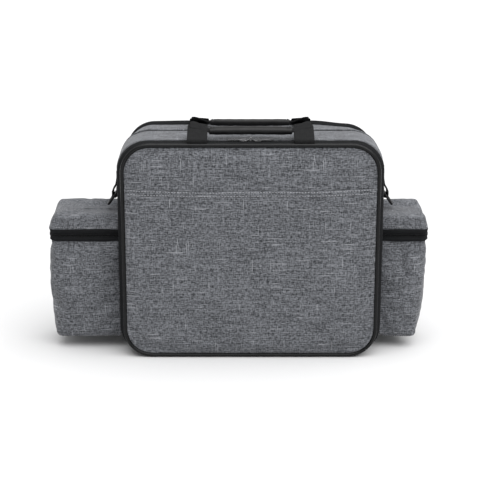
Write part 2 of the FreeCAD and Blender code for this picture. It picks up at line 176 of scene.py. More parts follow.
class Paint(Graph):
    """A material's graph, with the patterns that the finishes share."""

    def __init__(self, name: str, space: Space) -> None:
        """Start a material with one shader.

        Args:
            name: the material's name.
            space: the coordinates that its patterns follow.
        """
        self.material = bpy.data.materials.new(name)
        self.material.use_nodes = True
        super().__init__(self.material.node_tree)
        self.tree.nodes.clear()
        self.shader = self.node("ShaderNodeBsdfPrincipled")
        self.node("ShaderNodeOutputMaterial", {}, {"Surface": self.shader.outputs[0]})
        if space is Space.CLOTH:
            self.place = self.node("ShaderNodeUVMap", {"uv_map": "cloth"}).outputs[0]
        else:
            self.place = self.node("ShaderNodeTexCoord").outputs["Object"]
        split = self.node("ShaderNodeSeparateXYZ", {}, {0: self.place})
        self.along = self.num(split, 0)
        self.across = self.num(split, 1)

    def grain(self, scale: Sequence[float], detail: float = 2.0, roughness: float = 0.5) -> Num:
        """Noise stretched along the axes.

        Args:
            scale: cycles per metre along each axis.
            detail: octaves.
            roughness: weight of the finer octaves.

        Returns:
            The noise, from about 0 to 1.
        """
        stretched = self.node("ShaderNodeMapping", {}, {"Vector": self.place, "Scale": tuple(scale)})
        made = self.node("ShaderNodeTexNoise", {"noise_dimensions": "3D"},
                         {"Vector": stretched.outputs[0], "Scale": 1.0, "Detail": detail,
                          "Roughness": roughness})
        return self.num(made, 0)

    def blend(self, amount: Num, low: Any, high: Sequence[float]) -> Any:
        """Mix a colour or a socket with a second colour.

        Args:
            amount: 0 gives low and 1 gives high.
            low: first linear colour, or a colour socket.
            high: second linear colour.

        Returns:
            The colour socket.
        """
        base = low if isinstance(low, bpy.types.NodeSocket) else (*low, 1.0)
        inputs = {0: amount, 6: base, 7: (*high, 1.0)}
        return self.node("ShaderNodeMix", {"data_type": "RGBA"}, inputs).outputs[2]

    def feed(self, socket: str, value: Any) -> None:
        """Link a pattern to one of the shader's sockets, or set a constant."""
        target = self.shader.inputs[socket]
        value = value.socket if isinstance(value, Num) else value
        if isinstance(value, bpy.types.NodeSocket):
            self.tree.links.new(value, target)
        else:
            target.default_value = value

    def relief(self, height: Num, distance: float, strength: float = 1.0) -> None:
        """Give the surface a bump from a pattern, its depth in metres and how much of it shows."""
        made = self.node("ShaderNodeBump", {}, {"Height": height, "Distance": distance,
                                               "Strength": strength})
        self.feed("Normal", made.outputs[0])


# ---- finishes ----
class Finish:
    """A finish that builds its material once."""

    @cache
    def material(self) -> bpy.types.Material:
        """Build the material, or return the one already built."""
        return self.build()

    def build(self) -> bpy.types.Material:
        """Build the material."""
        raise NotImplementedError


@dataclass(frozen=True)
class HeatherCloth(Finish):
    """Plain-woven heathered polyester with light and dark slubs both ways."""

    name: str = "heather_cloth"
    dark: Triple = (0.0195, 0.0208, 0.0238)
    light: Triple = (0.192, 0.199, 0.216)
    slub: Triple = (0.40, 0.41, 0.435)
    yarn: float = 0.75 * MM

    def build(self) -> bpy.types.Material:
        """Weave the cloth: flecked yarns both ways, slubs, and a plain-weave relief."""
        paint = Paint(self.name, Space.CLOTH)
        thin = 0.62 / self.yarn
        weft_dash = paint.grain((170.0, thin, 1.0), 1.0)
        warp_dash = paint.grain((thin, 150.0, 5.0), 1.0)
        weft_run = paint.grain((24.0, thin * 0.7, 9.0), 1.0)
        warp_run = paint.grain((thin * 0.7, 21.0, 13.0), 1.0)
        cloud = paint.grain((16.0, 19.0, 17.0), 2.0)
        fleck = paint.grain((230.0, 470.0, 3.0), 1.0)
        tone = (weft_dash * 2.0 + warp_dash * 1.7 + weft_run * 1.35 + warp_run * 0.6
                + cloud * 0.35 + fleck * 1.2) - 3.15
        thick_weft = paint.grain((26.0, 560.0, 21.0), 0.0).ramp(0.735, 0.80)
        thick_warp = paint.grain((520.0, 30.0, 25.0), 0.0).ramp(0.755, 0.82)
        dark_weft = paint.grain((30.0, 600.0, 29.0), 0.0).ramp(0.70, 0.80)
        cloth = paint.blend(tone.ramp(-0.35, 1.35), self.dark, self.light)
        slubs = paint.blend(thick_weft * 0.55 + thick_warp * 0.42, cloth, self.slub)
        paint.feed("Base Color", paint.blend(dark_weft * 0.5, slubs, self.dark))
        turn = math.pi / self.yarn
        over = (paint.along * turn).wave() * (paint.across * turn).wave()
        slub_height = thick_weft * 0.6 + thick_warp * 0.6
        paint.relief(over * 0.5 + 0.5 + slub_height + weft_dash * 0.6 + warp_dash * 0.6, 0.14 * MM, 0.8)
        paint.feed("Roughness", 0.92)
        paint.feed("Sheen Weight", 0.16)
        paint.feed("Sheen Roughness", 0.5)
        paint.feed("Specular IOR Level", 0.2)
        return paint.material


@dataclass(frozen=True)
class RibbedTape(Finish):
    """Woven narrow goods: zip tape, binding or webbing, with ribs across its length."""

    name: str = "zip_tape"
    colour: Triple = (0.0034, 0.0037, 0.0042)
    worn: Triple = (0.0095, 0.0101, 0.0112)
    rib: float = 0.8 * MM
    depth: float = 0.15 * MM
    herringbone: bool = True

    def build(self) -> bpy.types.Material:
        """Draw the ribs, a herringbone slant and worn high spots."""
        paint = Paint(self.name, Space.CLOTH)
        slant = (paint.across * (1.0 / (3.0 * self.rib))).part() - 0.5
        lean = slant.size() * (3.0 * self.rib) if self.herringbone else paint.across * 0.0
        ribs = ((paint.along + lean) * (2.0 * math.pi / self.rib)).wave() * 0.5 + 0.5
        cords = (paint.across * (2.0 * math.pi / (1.9 * self.rib))).wave() * 0.5 + 0.5
        dust = paint.grain((160.0, 160.0, 1.0), 3.0, 0.6)
        wear = (ribs * 0.45 + dust * 0.75).ramp(0.25, 0.95)
        paint.feed("Base Color", paint.blend(wear, self.colour, self.worn))
        paint.relief(ribs * 0.7 + cords * 0.3, self.depth)
        paint.feed("Roughness", dust * 0.2 + 0.66)
        paint.feed("Specular IOR Level", 0.12)
        return paint.material


@dataclass(frozen=True)
class Coated(Finish):
    """Smooth or grained coated surface: vinyl, imitation leather, moulded plastic or enamel."""

    name: str
    colour: Triple
    worn: Triple
    roughness: float
    pebble: float = 900.0
    depth: float = 0.02 * MM
    metallic: float = 0.0
    coat: float = 0.0
    gloss: float = 0.4

    def build(self) -> bpy.types.Material:
        """Grain the surface, and let its rubs show in colour and gloss."""
        paint = Paint(self.name, Space.OBJECT)
        cells = paint.node("ShaderNodeTexVoronoi", {"feature": "SMOOTH_F1"},
                           {"Vector": paint.place, "Scale": self.pebble, "Smoothness": 0.4})
        pebbles = paint.num(cells, "Distance")
        rub = paint.grain((70.0, 70.0, 70.0), 4.0, 0.65)
        scuff = paint.grain((900.0, 260.0, 900.0), 2.0)
        wear = (rub * 0.7 + scuff * 0.5).ramp(0.45, 0.85)
        paint.feed("Base Color", paint.blend(wear, self.colour, self.worn))
        paint.feed("Roughness", rub * 0.16 + (self.roughness - 0.08))
        paint.relief(pebbles + scuff * 0.35, self.depth)
        paint.feed("Metallic", self.metallic)
        paint.feed("Specular IOR Level", self.gloss)
        paint.feed("Coat Weight", self.coat)
        paint.feed("Coat Roughness", 0.15)
        return paint.material


@dataclass(frozen=True)
class Lining(Finish):
    """Thin nylon lining with a small check of thicker threads."""

    name: str = "lining_cloth"
    colour: Triple = (0.018, 0.0185, 0.02)
    thread: Triple = (0.034, 0.035, 0.038)
    check: float = 5.0 * MM

    def build(self) -> bpy.types.Material:
        """Draw the check and the fine weave."""
        paint = Paint(self.name, Space.CLOTH)
        lines = []
        for axis in (paint.along, paint.across):
            lines.append(((axis * (1.0 / self.check)).part() - 0.5).size().ramp(0.44, 0.49))
        grid = lines[0].math("MAXIMUM", lines[1])
        turn = math.pi / (0.45 * MM)
        weave = (paint.along * turn).wave() * (paint.across * turn).wave() * 0.5 + 0.5
        soil = paint.grain((30.0, 30.0, 1.0), 3.0)
        paint.feed("Base Color", paint.blend(grid * 0.7 + soil * 0.3, self.colour, self.thread))
        paint.relief(weave * 0.4 + grid, 0.08 * MM)
        paint.feed("Roughness", soil * 0.2 + 0.42)
        paint.feed("Sheen Weight", 0.2)
        return paint.material


@dataclass(frozen=True)
class Paper(Finish):
    """Plain pale studio floor."""

    name: str = "studio_paper"

    def build(self) -> bpy.types.Material:
        """Plain matt white."""
        paint = Paint(self.name, Space.OBJECT)
        paint.feed("Base Color", (0.64, 0.64, 0.643, 1.0))
        paint.feed("Roughness", 0.95)
        paint.feed("Specular IOR Level", 0.1)
        return paint.material


HEATHER = HeatherCloth()
TAPE = RibbedTape()
WEBBING = RibbedTape("webbing", (0.0052, 0.0053, 0.0055), (0.016, 0.0162, 0.0168), 1.5 * MM, 0.35 * MM, False)
THREAD = Coated("dark_thread", (0.010, 0.0105, 0.0115), (0.035, 0.036, 0.039),
                0.7, 1800.0, 0.03 * MM, gloss=0.2)
PALE_THREAD = Coated("grey_thread", (0.30, 0.305, 0.32), (0.46, 0.47, 0.49),
                     0.6, 1800.0, 0.03 * MM, gloss=0.2)
VINYL = Coated("piping_vinyl", (0.0025, 0.0027, 0.003), (0.006, 0.0063, 0.007),
               0.24, 1500.0, 0.012 * MM, gloss=0.2)
LEATHER = Coated("grip_leather", (0.0035, 0.0035, 0.0038), (0.011, 0.011, 0.0116),
                 0.36, 1100.0, 0.09 * MM, gloss=0.24)
COIL = Coated("zip_coil", (0.003, 0.0031, 0.0035), (0.009, 0.0093, 0.0102),
              0.34, 1200.0, 0.01 * MM, gloss=0.24)
ENAMEL = Coated("slider_enamel", (0.10, 0.10, 0.105), (0.34, 0.34, 0.35),
                0.26, 1400.0, 0.01 * MM, 0.85, 0.2)
MOULDED = Coated("ring_plastic", (0.003, 0.003, 0.0032), (0.009, 0.009, 0.0098),
                 0.34, 1300.0, 0.02 * MM, gloss=0.22)
MAT = Coated("work_mat", (0.02, 0.021, 0.023), (0.042, 0.043, 0.047), 0.42, 750.0, 0.06 * MM, gloss=0.3)
BOARD = Coated("stiff_board", (0.015, 0.015, 0.016), (0.03, 0.03, 0.032), 0.55, 600.0, 0.05 * MM)
LINING = Lining()


# ---- mesh building ----
def add_object(name: str, data: Any) -> Piece:
    """Add an object to the scene."""
    made = bpy.data.objects.new(name, data)
    bpy.context.scene.collection.objects.link(made)
    return made


def turn_outwards(mesh: bpy.types.Mesh, merge: bool = False) -> None:
    """Make a mesh's faces point outwards, after merging loose triangles where asked."""
    build = bmesh.new()
    build.from_mesh(mesh)
    if merge:
        bmesh.ops.remove_doubles(build, verts=build.verts, dist=0.005 * MM)
        bmesh.ops.dissolve_limit(build, angle_limit=math.radians(2.0), verts=build.verts, edges=build.edges)
    bmesh.ops.recalc_face_normals(build, faces=build.faces)
    build.to_mesh(mesh)
    build.free()


def new_object(name: str, points: np.ndarray, faces: list[tuple[int, ...]],
               uvs: list[list[tuple[float, float]]] | None = None) -> Piece:
    """Make a smooth mesh object at the origin.

    Args:
        name: the piece's name.
        points: vertex places, one row each.
        faces: vertex numbers of each face.
        uvs: a cloth coordinate in metres for each corner of each face.

    Returns:
        The linked object, its faces pointing outwards.
    """
    mesh = bpy.data.meshes.new(name)
    mesh.from_pydata([tuple(p) for p in points], [], faces)
    if uvs is not None:
        layer = mesh.uv_layers.new(name="cloth")
        layer.data.foreach_set("uv", [c for face in uvs for corner in face for c in corner])
    turn_outwards(mesh)
    mesh.shade_smooth()
    return add_object(name, mesh)


def spread(values: np.ndarray) -> np.ndarray:
    """Distance walked along a row of points, from 0."""
    steps = np.linalg.norm(np.diff(values, axis=0), axis=1)
    return np.concatenate([[0.0], np.cumsum(steps)])


def grid_uv(outer: np.ndarray) -> np.ndarray:
    """Cloth coordinates of a grid of points, in metres along its rows and columns."""
    rows, columns = outer.shape[:2]
    along = spread(outer[:, columns // 2])
    across = spread(outer[rows // 2])
    return np.stack(np.meshgrid(along, across, indexing="ij"), axis=-1)


def slab(name: str, outer: np.ndarray, inner: np.ndarray, ring: bool = False,
         uv: np.ndarray | None = None) -> Piece:
    """Closed piece between two grids of points, with soft long edges.

    Args:
        name: the piece's name.
        outer: the side that shows, rows by columns by 3.
        inner: the other side, with the same shape.
        ring: True where the last row joins the first.
        uv: cloth coordinates of each grid point; worked out from the lengths if left out.

    Returns:
        The object.
    """
    rows, columns = outer.shape[:2]
    uv = grid_uv(outer) if uv is None else uv
    thick = np.linalg.norm(outer - inner, axis=2, keepdims=True)
    ends = []
    for edge, beside in ((0, 1), (-1, -2)):
        away = outer[:, edge] - outer[:, beside]
        away = away / np.maximum(np.linalg.norm(away, axis=1, keepdims=True), 1e-9)
        ends.append((outer[:, edge] + inner[:, edge]) / 2 + away * thick[:, edge] * 0.35)
    loop = np.concatenate([ends[0][:, None], outer, ends[1][:, None], inner[:, ::-1]], axis=1)
    loop_uv = np.concatenate([uv[:, :1], uv, uv[:, -1:], uv[:, ::-1]], axis=1)
    size = loop.shape[1]
    faces, corners = [], []

    def add(*spots: tuple[int, int]) -> None:
        """Add one face from row and loop numbers."""
        faces.append(tuple((r % rows) * size + c % size for r, c in spots))
        face_uv = []
        for r, c in spots:
            u, v = loop_uv[r % rows, c % size]
            if ring and r == rows:
                u = loop_uv[-1, c % size][0] + (loop_uv[-1, c % size][0] - loop_uv[-2, c % size][0])
            face_uv.append((float(u), float(v)))
        corners.append(face_uv)

    for r in range(rows if ring else rows - 1):
        for c in range(size):
            add((r, c), (r, c + 1), (r + 1, c + 1), (r + 1, c))
    if not ring:
        for r in (0, rows - 1):
            add((r, 0), (r, 1), (r, size - 1))
            for c in range(columns - 1):
                add((r, 1 + c), (r, 2 + c), (r, size - 2 - c), (r, size - 1 - c))
            add((r, columns), (r, columns + 1), (r, columns + 2))
    return new_object(name, loop.reshape(-1, 3), faces, corners)


def tub(name: str, loops: np.ndarray) -> Piece:
    """Skin through closed loops of points, its last loop filled with a fan.

    Args:
        name: the piece's name.
        loops: loops by points by 3.

    Returns:
        The object.
    """
    rows, size = loops.shape[:2]
    along = spread(np.concatenate([loops[0], loops[0][:1]]))
    down = spread(loops[:, size // 3])
    points = loops.reshape(-1, 3)
    faces, corners = [], []
    for r in range(rows - 1):
        for c in range(size):
            n = (c + 1) % size
            faces.append((r * size + c, r * size + n, (r + 1) * size + n, (r + 1) * size + c))
            corners.append([(along[c], down[r]), (along[c + 1], down[r]),
                            (along[c + 1], down[r + 1]), (along[c], down[r + 1])])
    points = np.concatenate([points, loops[-1].mean(axis=0)[None]])
    last = (rows - 1) * size
    for c in range(size):
        n = (c + 1) % size
        faces.append((last + c, last + n, rows * size))
        corners.append([(along[c], down[-1]), (along[c + 1], down[-1]), (along[c], down[-1] + 2 * MM)])
    return new_object(name, points, faces, corners)


def tube(name: str, loops: np.ndarray) -> Piece:
    """Skin through closed loops of points with both ends filled by fans.

    Args:
        name: the piece's name.
        loops: loops by points by 3.

    Returns:
        The object.
    """
    rows, size = loops.shape[:2]
    points = np.concatenate([loops.reshape(-1, 3), loops[[0, -1]].mean(axis=1)])
    faces = []
    for c in range(size):
        n = (c + 1) % size
        faces += [(r * size + c, r * size + n, (r + 1) * size + n, (r + 1) * size + c) for r in range(rows - 1)]
        faces += [(rows * size, n, c), (rows * size + 1, (rows - 1) * size + c, (rows - 1) * size + n)]
    return new_object(name, points, faces)


def thicken(piece: Piece, thickness: float) -> None:
    """Give a skin its thickness, inwards, as a plain mesh."""
    wall = piece.modifiers.new("thickness", "SOLIDIFY")
    wall.thickness = thickness
    wall.offset = -1.0
    bake(piece)


def bake(piece: Piece) -> Piece:
    """Turn a piece with live modifiers into a plain mesh.

    Args:
        piece: the object.

    Returns:
        The same object with its final mesh.
    """
    graph = bpy.context.evaluated_depsgraph_get()
    mesh = bpy.data.meshes.new_from_object(piece.evaluated_get(graph), depsgraph=graph)
    old = piece.data
    piece.modifiers.clear()
    piece.data = mesh
    mesh.name = piece.name
    if isinstance(old, bpy.types.Mesh) and old.users == 0:
        bpy.data.meshes.remove(old)
    return piece


def dress(piece: Piece, finish: Finish, body: str | None = None,
          stands_for: Sequence[str] = ()) -> Piece:
    """Give a piece its finish, its body and the nodes that it stands for.

    Args:
        piece: the object.
        finish: the finish.
        body: the body that it rides on, or None to leave it on no body.
        stands_for: CAD nodes that it replaces.

    Returns:
        The same object.
    """
    piece.data.materials.clear()
    piece.data.materials.append(finish.material())
    if stands_for:
        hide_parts(*stands_for)
    if body == "carcass":
        set_vertices(piece, slouch(vertices(piece)))
    if body is not None:
        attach(piece, body)
    log.info("%s in %s", piece.name, finish.name)
    return piece


def slouch(points: np.ndarray) -> np.ndarray:
    """Let the soft body's rear top corners slump inwards, the right-hand one lower.

    Args:
        points: places on the body.

    Returns:
        The moved places.
    """
    x, y, z = points[..., 0], points[..., 1], points[..., 2]
    inward, left_sink, more_right = 5.5 * MM, 1.0 * MM, 4.0 * MM
    rear = step(y, 16 * MM, 78 * MM)
    upper, uppermost = step(z, 225 * MM, 320 * MM), step(z, 280 * MM, 340 * MM)
    moved = points.copy()
    moved[..., 0] -= np.sign(x) * inward * rear * upper * step(np.abs(x), 110 * MM, 190 * MM)
    sink = left_sink + more_right * step(x, -60 * MM, 150 * MM)
    moved[..., 2] -= sink * rear * uppermost * step(np.abs(x), 98 * MM, 165 * MM)
    return moved


def bevelled_copy(node: str, name: str, width: float) -> Piece:
    """Copy a hard CAD node, merge its loose triangles and round its edges.

    Args:
        node: the CAD node.
        name: the new piece's name.
        width: bevel width in metres.

    Returns:
        The new object.
    """
    mesh = frame["nodes"][node].data.copy()
    mesh.name = name
    turn_outwards(mesh, merge=True)
    piece = add_object(name, mesh)
    bevel = piece.modifiers.new("edges", "BEVEL")
    bevel.width = width
    bevel.segments = 2
    bevel.limit_method = "ANGLE"
    bevel.angle_limit = math.radians(35.0)
    bevel.harden_normals = True
    bake(piece)
    piece.data.shade_smooth()
    return piece


def relax(piece: Piece, pinned: np.ndarray, pressure: float, shrink: float, cap: float,
          frames: int = 20) -> np.ndarray:
    """Let a piece settle as cloth that is sewn down at some points.

    Args:
        piece: the object; its mesh stays as it is.
        pinned: for each point, how firmly it is held, from 0 to 1.
        pressure: outward push of the filling.
        shrink: share by which the cloth is cut smaller; below 0 it is cut larger and wrinkles.
        cap: furthest that a point may move, in metres.
        frames: length of the simulation.

    Returns:
        The settled points.
    """
    rest = vertices(piece)
    trial = piece.copy()
    trial.data = piece.data.copy()
    bpy.context.scene.collection.objects.link(trial)
    group = trial.vertex_groups.new(name="sewn")
    for index, weight in enumerate(pinned):
        if weight > 0.0:
            group.add([index], float(weight), "REPLACE")
    cloth = trial.modifiers.new("cloth", "CLOTH")
    settings = cloth.settings
    settings.quality = 6
    settings.mass = 0.25
    settings.tension_stiffness = 12.0
    settings.compression_stiffness = 12.0
    settings.shear_stiffness = 5.0
    settings.bending_stiffness = 0.6
    settings.vertex_group_mass = "sewn"
    settings.shrink_min = shrink
    settings.use_pressure = True
    settings.uniform_pressure_force = pressure
    settings.effector_weights.gravity = 0.0
    cloth.collision_settings.use_collision = False
    cloth.point_cache.frame_start = 1
    cloth.point_cache.frame_end = frames
    scene = bpy.context.scene
    for number in range(1, frames + 1):
        scene.frame_set(number)
    graph = bpy.context.evaluated_depsgraph_get()
    settled = vertices(trial.evaluated_get(graph))
    scene.frame_set(1)
    used = trial.data
    bpy.data.objects.remove(trial)
    bpy.data.meshes.remove(used)
    move = settled - rest
    far = np.linalg.norm(move, axis=1, keepdims=True)
    return rest + move * np.minimum(1.0, cap / np.maximum(far, 1e-9))


def vertices(piece: Piece) -> np.ndarray:
    """Points of a piece's mesh, one row each."""
    flat = np.empty(len(piece.data.vertices) * 3)
    piece.data.vertices.foreach_get("co", flat)
    return flat.reshape(-1, 3)


def set_vertices(piece: Piece, points: np.ndarray) -> None:
    """Write moved points back into a piece's mesh."""
    piece.data.vertices.foreach_set("co", points.ravel())
    piece.data.update()


def ripple(points: np.ndarray, size: float, seed: float) -> np.ndarray:
    """Smooth noise at some points.

    Args:
        points: places, with 3 numbers each.
        size: width of a ripple in metres.
        seed: shifts the pattern.

    Returns:
        A number from about -1 to 1 for each point.
    """
    flat = points.reshape(-1, 3) / size + seed
    values = [noise.noise(Vector(p)) for p in flat]
    return np.array(values).reshape(points.shape[:-1]) * 1.6


def step(value: Any, low: float, high: float) -> Any:
    """Smooth step from 0 at low to 1 at high."""
    t = np.clip((value - low) / (high - low), 0.0, 1.0)
    return t * t * (3.0 - 2.0 * t)


# ---- repeated and swept pieces ----
class Modelling(Graph):
    """A geometry tree with named sizes that ends in real meshes with a finish."""

    def __init__(self, name: str, sizes: Sequence[str]) -> None:
        """Start a tree.

        Args:
            name: the tree's name.
            sizes: names of its number inputs.
        """
        super().__init__(bpy.data.node_groups.new(name, "GeometryNodeTree"))
        face = self.tree.interface
        face.new_socket("Geometry", in_out="INPUT", socket_type="NodeSocketGeometry")
        face.new_socket("Finish", in_out="INPUT", socket_type="NodeSocketMaterial")
        for size in sizes:
            face.new_socket(size, in_out="INPUT", socket_type="NodeSocketFloat")
        face.new_socket("Geometry", in_out="OUTPUT", socket_type="NodeSocketGeometry")
        self.start = self.node("NodeGroupInput")

    def size(self, name: str) -> Num:
        """One of the tree's named sizes."""
        return self.num(self.start, name)

    def close(self, geometry: Any) -> bpy.types.NodeTree:
        """Make the result real, smooth and finished.

        Args:
            geometry: socket of the geometry to give out.

        Returns:
            The finished tree.
        """
        real = self.node("GeometryNodeRealizeInstances", {}, {0: geometry})
        smooth = self.node("GeometryNodeSetShadeSmooth", {}, {0: real.outputs[0]})
        coloured = self.node("GeometryNodeSetMaterial", {},
                             {"Geometry": smooth.outputs[0], "Material": self.start.outputs["Finish"]})
        self.node("NodeGroupOutput", {}, {0: coloured.outputs[0]})
        return self.tree


@cache
def unit_tree() -> bpy.types.NodeTree:
    """Tree that repeats a small rounded unit, a stitch or a coil tooth, along a path."""
    work = Modelling("units_along_path", ("Spacing", "Length", "Width", "Height"))
    curve = work.node("GeometryNodeMeshToCurve", {}, {0: work.start.outputs["Geometry"]})
    even = work.node("GeometryNodeResampleCurve", {"mode": "LENGTH"},
                     {"Curve": curve.outputs[0], "Length": work.size("Spacing")})
    ball = work.node("GeometryNodeMeshUVSphere", {}, {"Segments": 6, "Rings": 4, "Radius": 0.5})
    scale = work.node("ShaderNodeCombineXYZ", {}, {0: work.size("Length"), 1: work.size("Width"),
                                                  2: work.size("Height")})
    unit = work.node("GeometryNodeTransform", {}, {"Geometry": ball.outputs[0], "Scale": scale.outputs[0]})
    tangent = work.node("GeometryNodeInputTangent")
    out = work.node("GeometryNodeInputNamedAttribute", {"data_type": "FLOAT_VECTOR"}, {"Name": "out"})
    turn = work.node("FunctionNodeAxesToRotation", {"primary_axis": "X", "secondary_axis": "Z"},
                     {0: tangent.outputs[0], 1: out.outputs[0]})
    units = work.node("GeometryNodeInstanceOnPoints", {},
                      {"Points": even.outputs[0], "Instance": unit.outputs[0], "Rotation": turn.outputs[0]})
    return work.close(units.outputs[0])


@cache
def cord_tree() -> bpy.types.NodeTree:
    """Tree that sweeps a round section along a path."""
    work = Modelling("round_section_along_path", ("Radius",))
    curve = work.node("GeometryNodeMeshToCurve", {}, {0: work.start.outputs["Geometry"]})
    section = work.node("GeometryNodeCurvePrimitiveCircle", {},
                        {"Resolution": 14, "Radius": work.size("Radius")})
    swept = work.node("GeometryNodeCurveToMesh", {}, {"Curve": curve.outputs[0],
                                                      "Profile Curve": section.outputs[0], "Fill Caps": True})
    return work.close(swept.outputs[0])


@dataclass
class Path:
    """A line of points with the direction that faces out of the cloth at each."""

    points: np.ndarray
    out: np.ndarray
    closed: bool = False

    def shape(self, name: str, maker: Callable[[], bpy.types.NodeTree], finish: Finish,
              **sizes: float) -> Piece:
        """Run a geometry tree along the path.

        Args:
            name: the piece's name.
            maker: the function that builds the tree.
            finish: the finish.
            sizes: the tree's named sizes.

        Returns:
            The plain mesh.
        """
        count = len(self.points)
        edges = [(i, i + 1) for i in range(count - 1)] + ([(count - 1, 0)] if self.closed else [])
        mesh = bpy.data.meshes.new(name)
        mesh.from_pydata([tuple(p) for p in self.points], edges, [])
        layer = mesh.attributes.new("out", "FLOAT_VECTOR", "POINT")
        layer.data.foreach_set("vector", np.asarray(self.out, dtype=np.float32).ravel())
        piece = add_object(name, mesh)
        tree = maker()
        live = piece.modifiers.new("shape", "NODES")
        live.node_group = tree
        values = {"Finish": finish.material(), **{key.capitalize(): value for key, value in sizes.items()}}
        for item in tree.interface.items_tree:
            if item.in_out == "INPUT" and item.name in values:
                live[item.identifier] = values[item.name]
        turn_outwards(bake(piece).data)
        return piece


def sewn_figure(corners: Sequence[tuple[float, float]], count: int) -> tuple[np.ndarray, np.ndarray]:
    """Even places along the straight runs between corners, as two rows of numbers."""
    runs = list(zip(corners, corners[1:]))
    return tuple(np.concatenate([np.linspace(a[axis], b[axis], count)[:-1] for a, b in runs])
                 for axis in (0, 1))


@dataclass(frozen=True)
class Stitch:
    """A sewn line's thread and pitch."""

    length: float = 2.6 * MM
    gap: float = 1.0 * MM
    width: float = 0.55 * MM
    height: float = 0.5 * MM

    def sew(self, name: str, path: Path, finish: Finish, body: str | None) -> Piece:
        """Sew along a path, as one piece that rides on a body, or on no body where body is None."""
        line = path.shape(name, unit_tree, finish, spacing=self.length + self.gap, length=self.length,
                          width=self.width, height=self.height)
        return dress(line, finish, body)


# ---- outlines ----
@dataclass(frozen=True)
class Loop:
    """Closed rectangle with rounded corners, walked anticlockwise from the middle of its low side."""

    left: float
    right: float
    low: float
    high: float
    corners: tuple[float, float, float, float]

    def inset(self, depth: float) -> "Loop":
        """The same outline, smaller by a depth all round."""
        corners = tuple(max(c - depth, 0.4 * MM) for c in self.corners)
        return Loop(self.left + depth, self.right - depth, self.low + depth, self.high - depth, corners)

    def runs(self) -> list[tuple[float, float]]:
        """Each straight's or bend's length, with the bend's radius or 0."""
        a, b, c, d = self.corners
        wide, tall = self.right - self.left, self.high - self.low
        quarter = math.pi / 2
        return [(wide / 2 - a, 0.0), (quarter * a, a), (tall - a - b, 0.0), (quarter * b, b),
                (wide - b - c, 0.0), (quarter * c, c), (tall - c - d, 0.0), (quarter * d, d),
                (wide / 2 - d, 0.0)]

    @property
    def length(self) -> float:
        """Length all the way round."""
        return sum(run for run, _ in self.runs())

    def at(self, shares: np.ndarray) -> tuple[np.ndarray, np.ndarray]:
        """Points of the outline.

        Args:
            shares: places as shares of the whole length; below 0 is before the start.

        Returns:
            The points and the outward directions.
        """
        walked = np.mod(np.asarray(shares, dtype=float), 1.0) * self.length
        points = np.zeros((len(walked), 2))
        outward = np.zeros((len(walked), 2))
        place = np.array([(self.left + self.right) / 2, self.low])
        heading, begin = 0.0, 0.0
        for run, radius in self.runs():
            here = (walked >= begin - 1e-12) & (walked <= begin + run + 1e-12)
            ahead = walked[here] - begin
            side = np.array([math.sin(heading), -math.cos(heading)])
            if radius:
                centre = place - side * radius
                angle = heading + ahead / radius
                outward[here] = np.stack([np.sin(angle), -np.cos(angle)], axis=1)
                points[here] = centre + outward[here] * radius
                heading += math.pi / 2
                place = centre + np.array([math.sin(heading), -math.cos(heading)]) * radius
            else:
                forward = np.array([math.cos(heading), math.sin(heading)])
                points[here] = place + ahead[:, None] * forward
                outward[here] = side
                place = place + forward * run
            begin += run
        return points, outward

    def share_at_height(self, height: float) -> float:
        """Share of the length from the start, up the right-hand side, to a height."""
        runs = self.runs()
        radius, upper = self.corners[0], self.corners[1]
        if height < self.low + radius:
            walked = runs[0][0] + radius * math.acos(1.0 - (height - self.low) / radius)
        elif height < self.high - upper:
            walked = runs[0][0] + runs[1][0] + height - self.low - radius
        else:
            rise = min(1.0, (height - self.high + upper) / upper)
            walked = runs[0][0] + runs[1][0] + runs[2][0] + upper * math.asin(rise)
        return walked / self.length

    def depth(self, x: np.ndarray, z: np.ndarray) -> np.ndarray:
        """How far inside the outline each place is, with the largest corner radius taken all round."""
        radius = max(self.corners)
        qx = np.abs(x - (self.left + self.right) / 2) - ((self.right - self.left) / 2 - radius)
        qz = np.abs(z - (self.low + self.high) / 2) - ((self.high - self.low) / 2 - radius)
        outside = np.hypot(np.maximum(qx, 0.0), np.maximum(qz, 0.0))
        return radius - outside - np.minimum(np.maximum(qx, qz), 0.0)

    def fill(self, xs: np.ndarray, zs: np.ndarray) -> tuple[np.ndarray, np.ndarray]:
        """Bend a square net of lines so that its border follows the rounded outline.

        Args:
            xs: column places.
            zs: row places.

        Returns:
            The x and z of each crossing, rows by columns.
        """
        x, z = np.meshgrid(xs, zs)
        radius = max(self.corners)
        centre_x, centre_z = (self.left + self.right) / 2, (self.low + self.high) / 2
        edge_x = (self.right - self.left) / 2 - radius
        edge_z = (self.high - self.low) / 2 - radius
        a = np.clip((np.abs(x - centre_x) - edge_x) / radius, 0.0, 1.0)
        b = np.clip((np.abs(z - centre_z) - edge_z) / radius, 0.0, 1.0)
        corner = (a > 0) & (b > 0)
        bent_x = centre_x + np.sign(x - centre_x) * (edge_x + radius * a * np.sqrt(1 - b * b / 2))
        bent_z = centre_z + np.sign(z - centre_z) * (edge_z + radius * b * np.sqrt(1 - a * a / 2))
        return np.where(corner, bent_x, x), np.where(corner, bent_z, z)


def upright(flat: np.ndarray, y: float | np.ndarray = 0.0) -> np.ndarray:
    """Points or directions of an upright outline, at a depth in the bag."""
    return np.stack([flat[:, 0], np.full(len(flat), y), flat[:, 1]], axis=1)


@dataclass(frozen=True)
class Edge:
    """One line of a strip: an outline, how far out of it the line runs, and its depth in the bag."""

    loop: Loop
    out: float
    y: float


def edges_across(y: float, *lines: tuple[Loop, float, float]) -> list[Edge]:
    """Lines across a strip: each one's outline, millimetres out of it and millimetres behind y."""
    return [Edge(loop, out * MM, y + back * MM) for loop, out, back in lines]


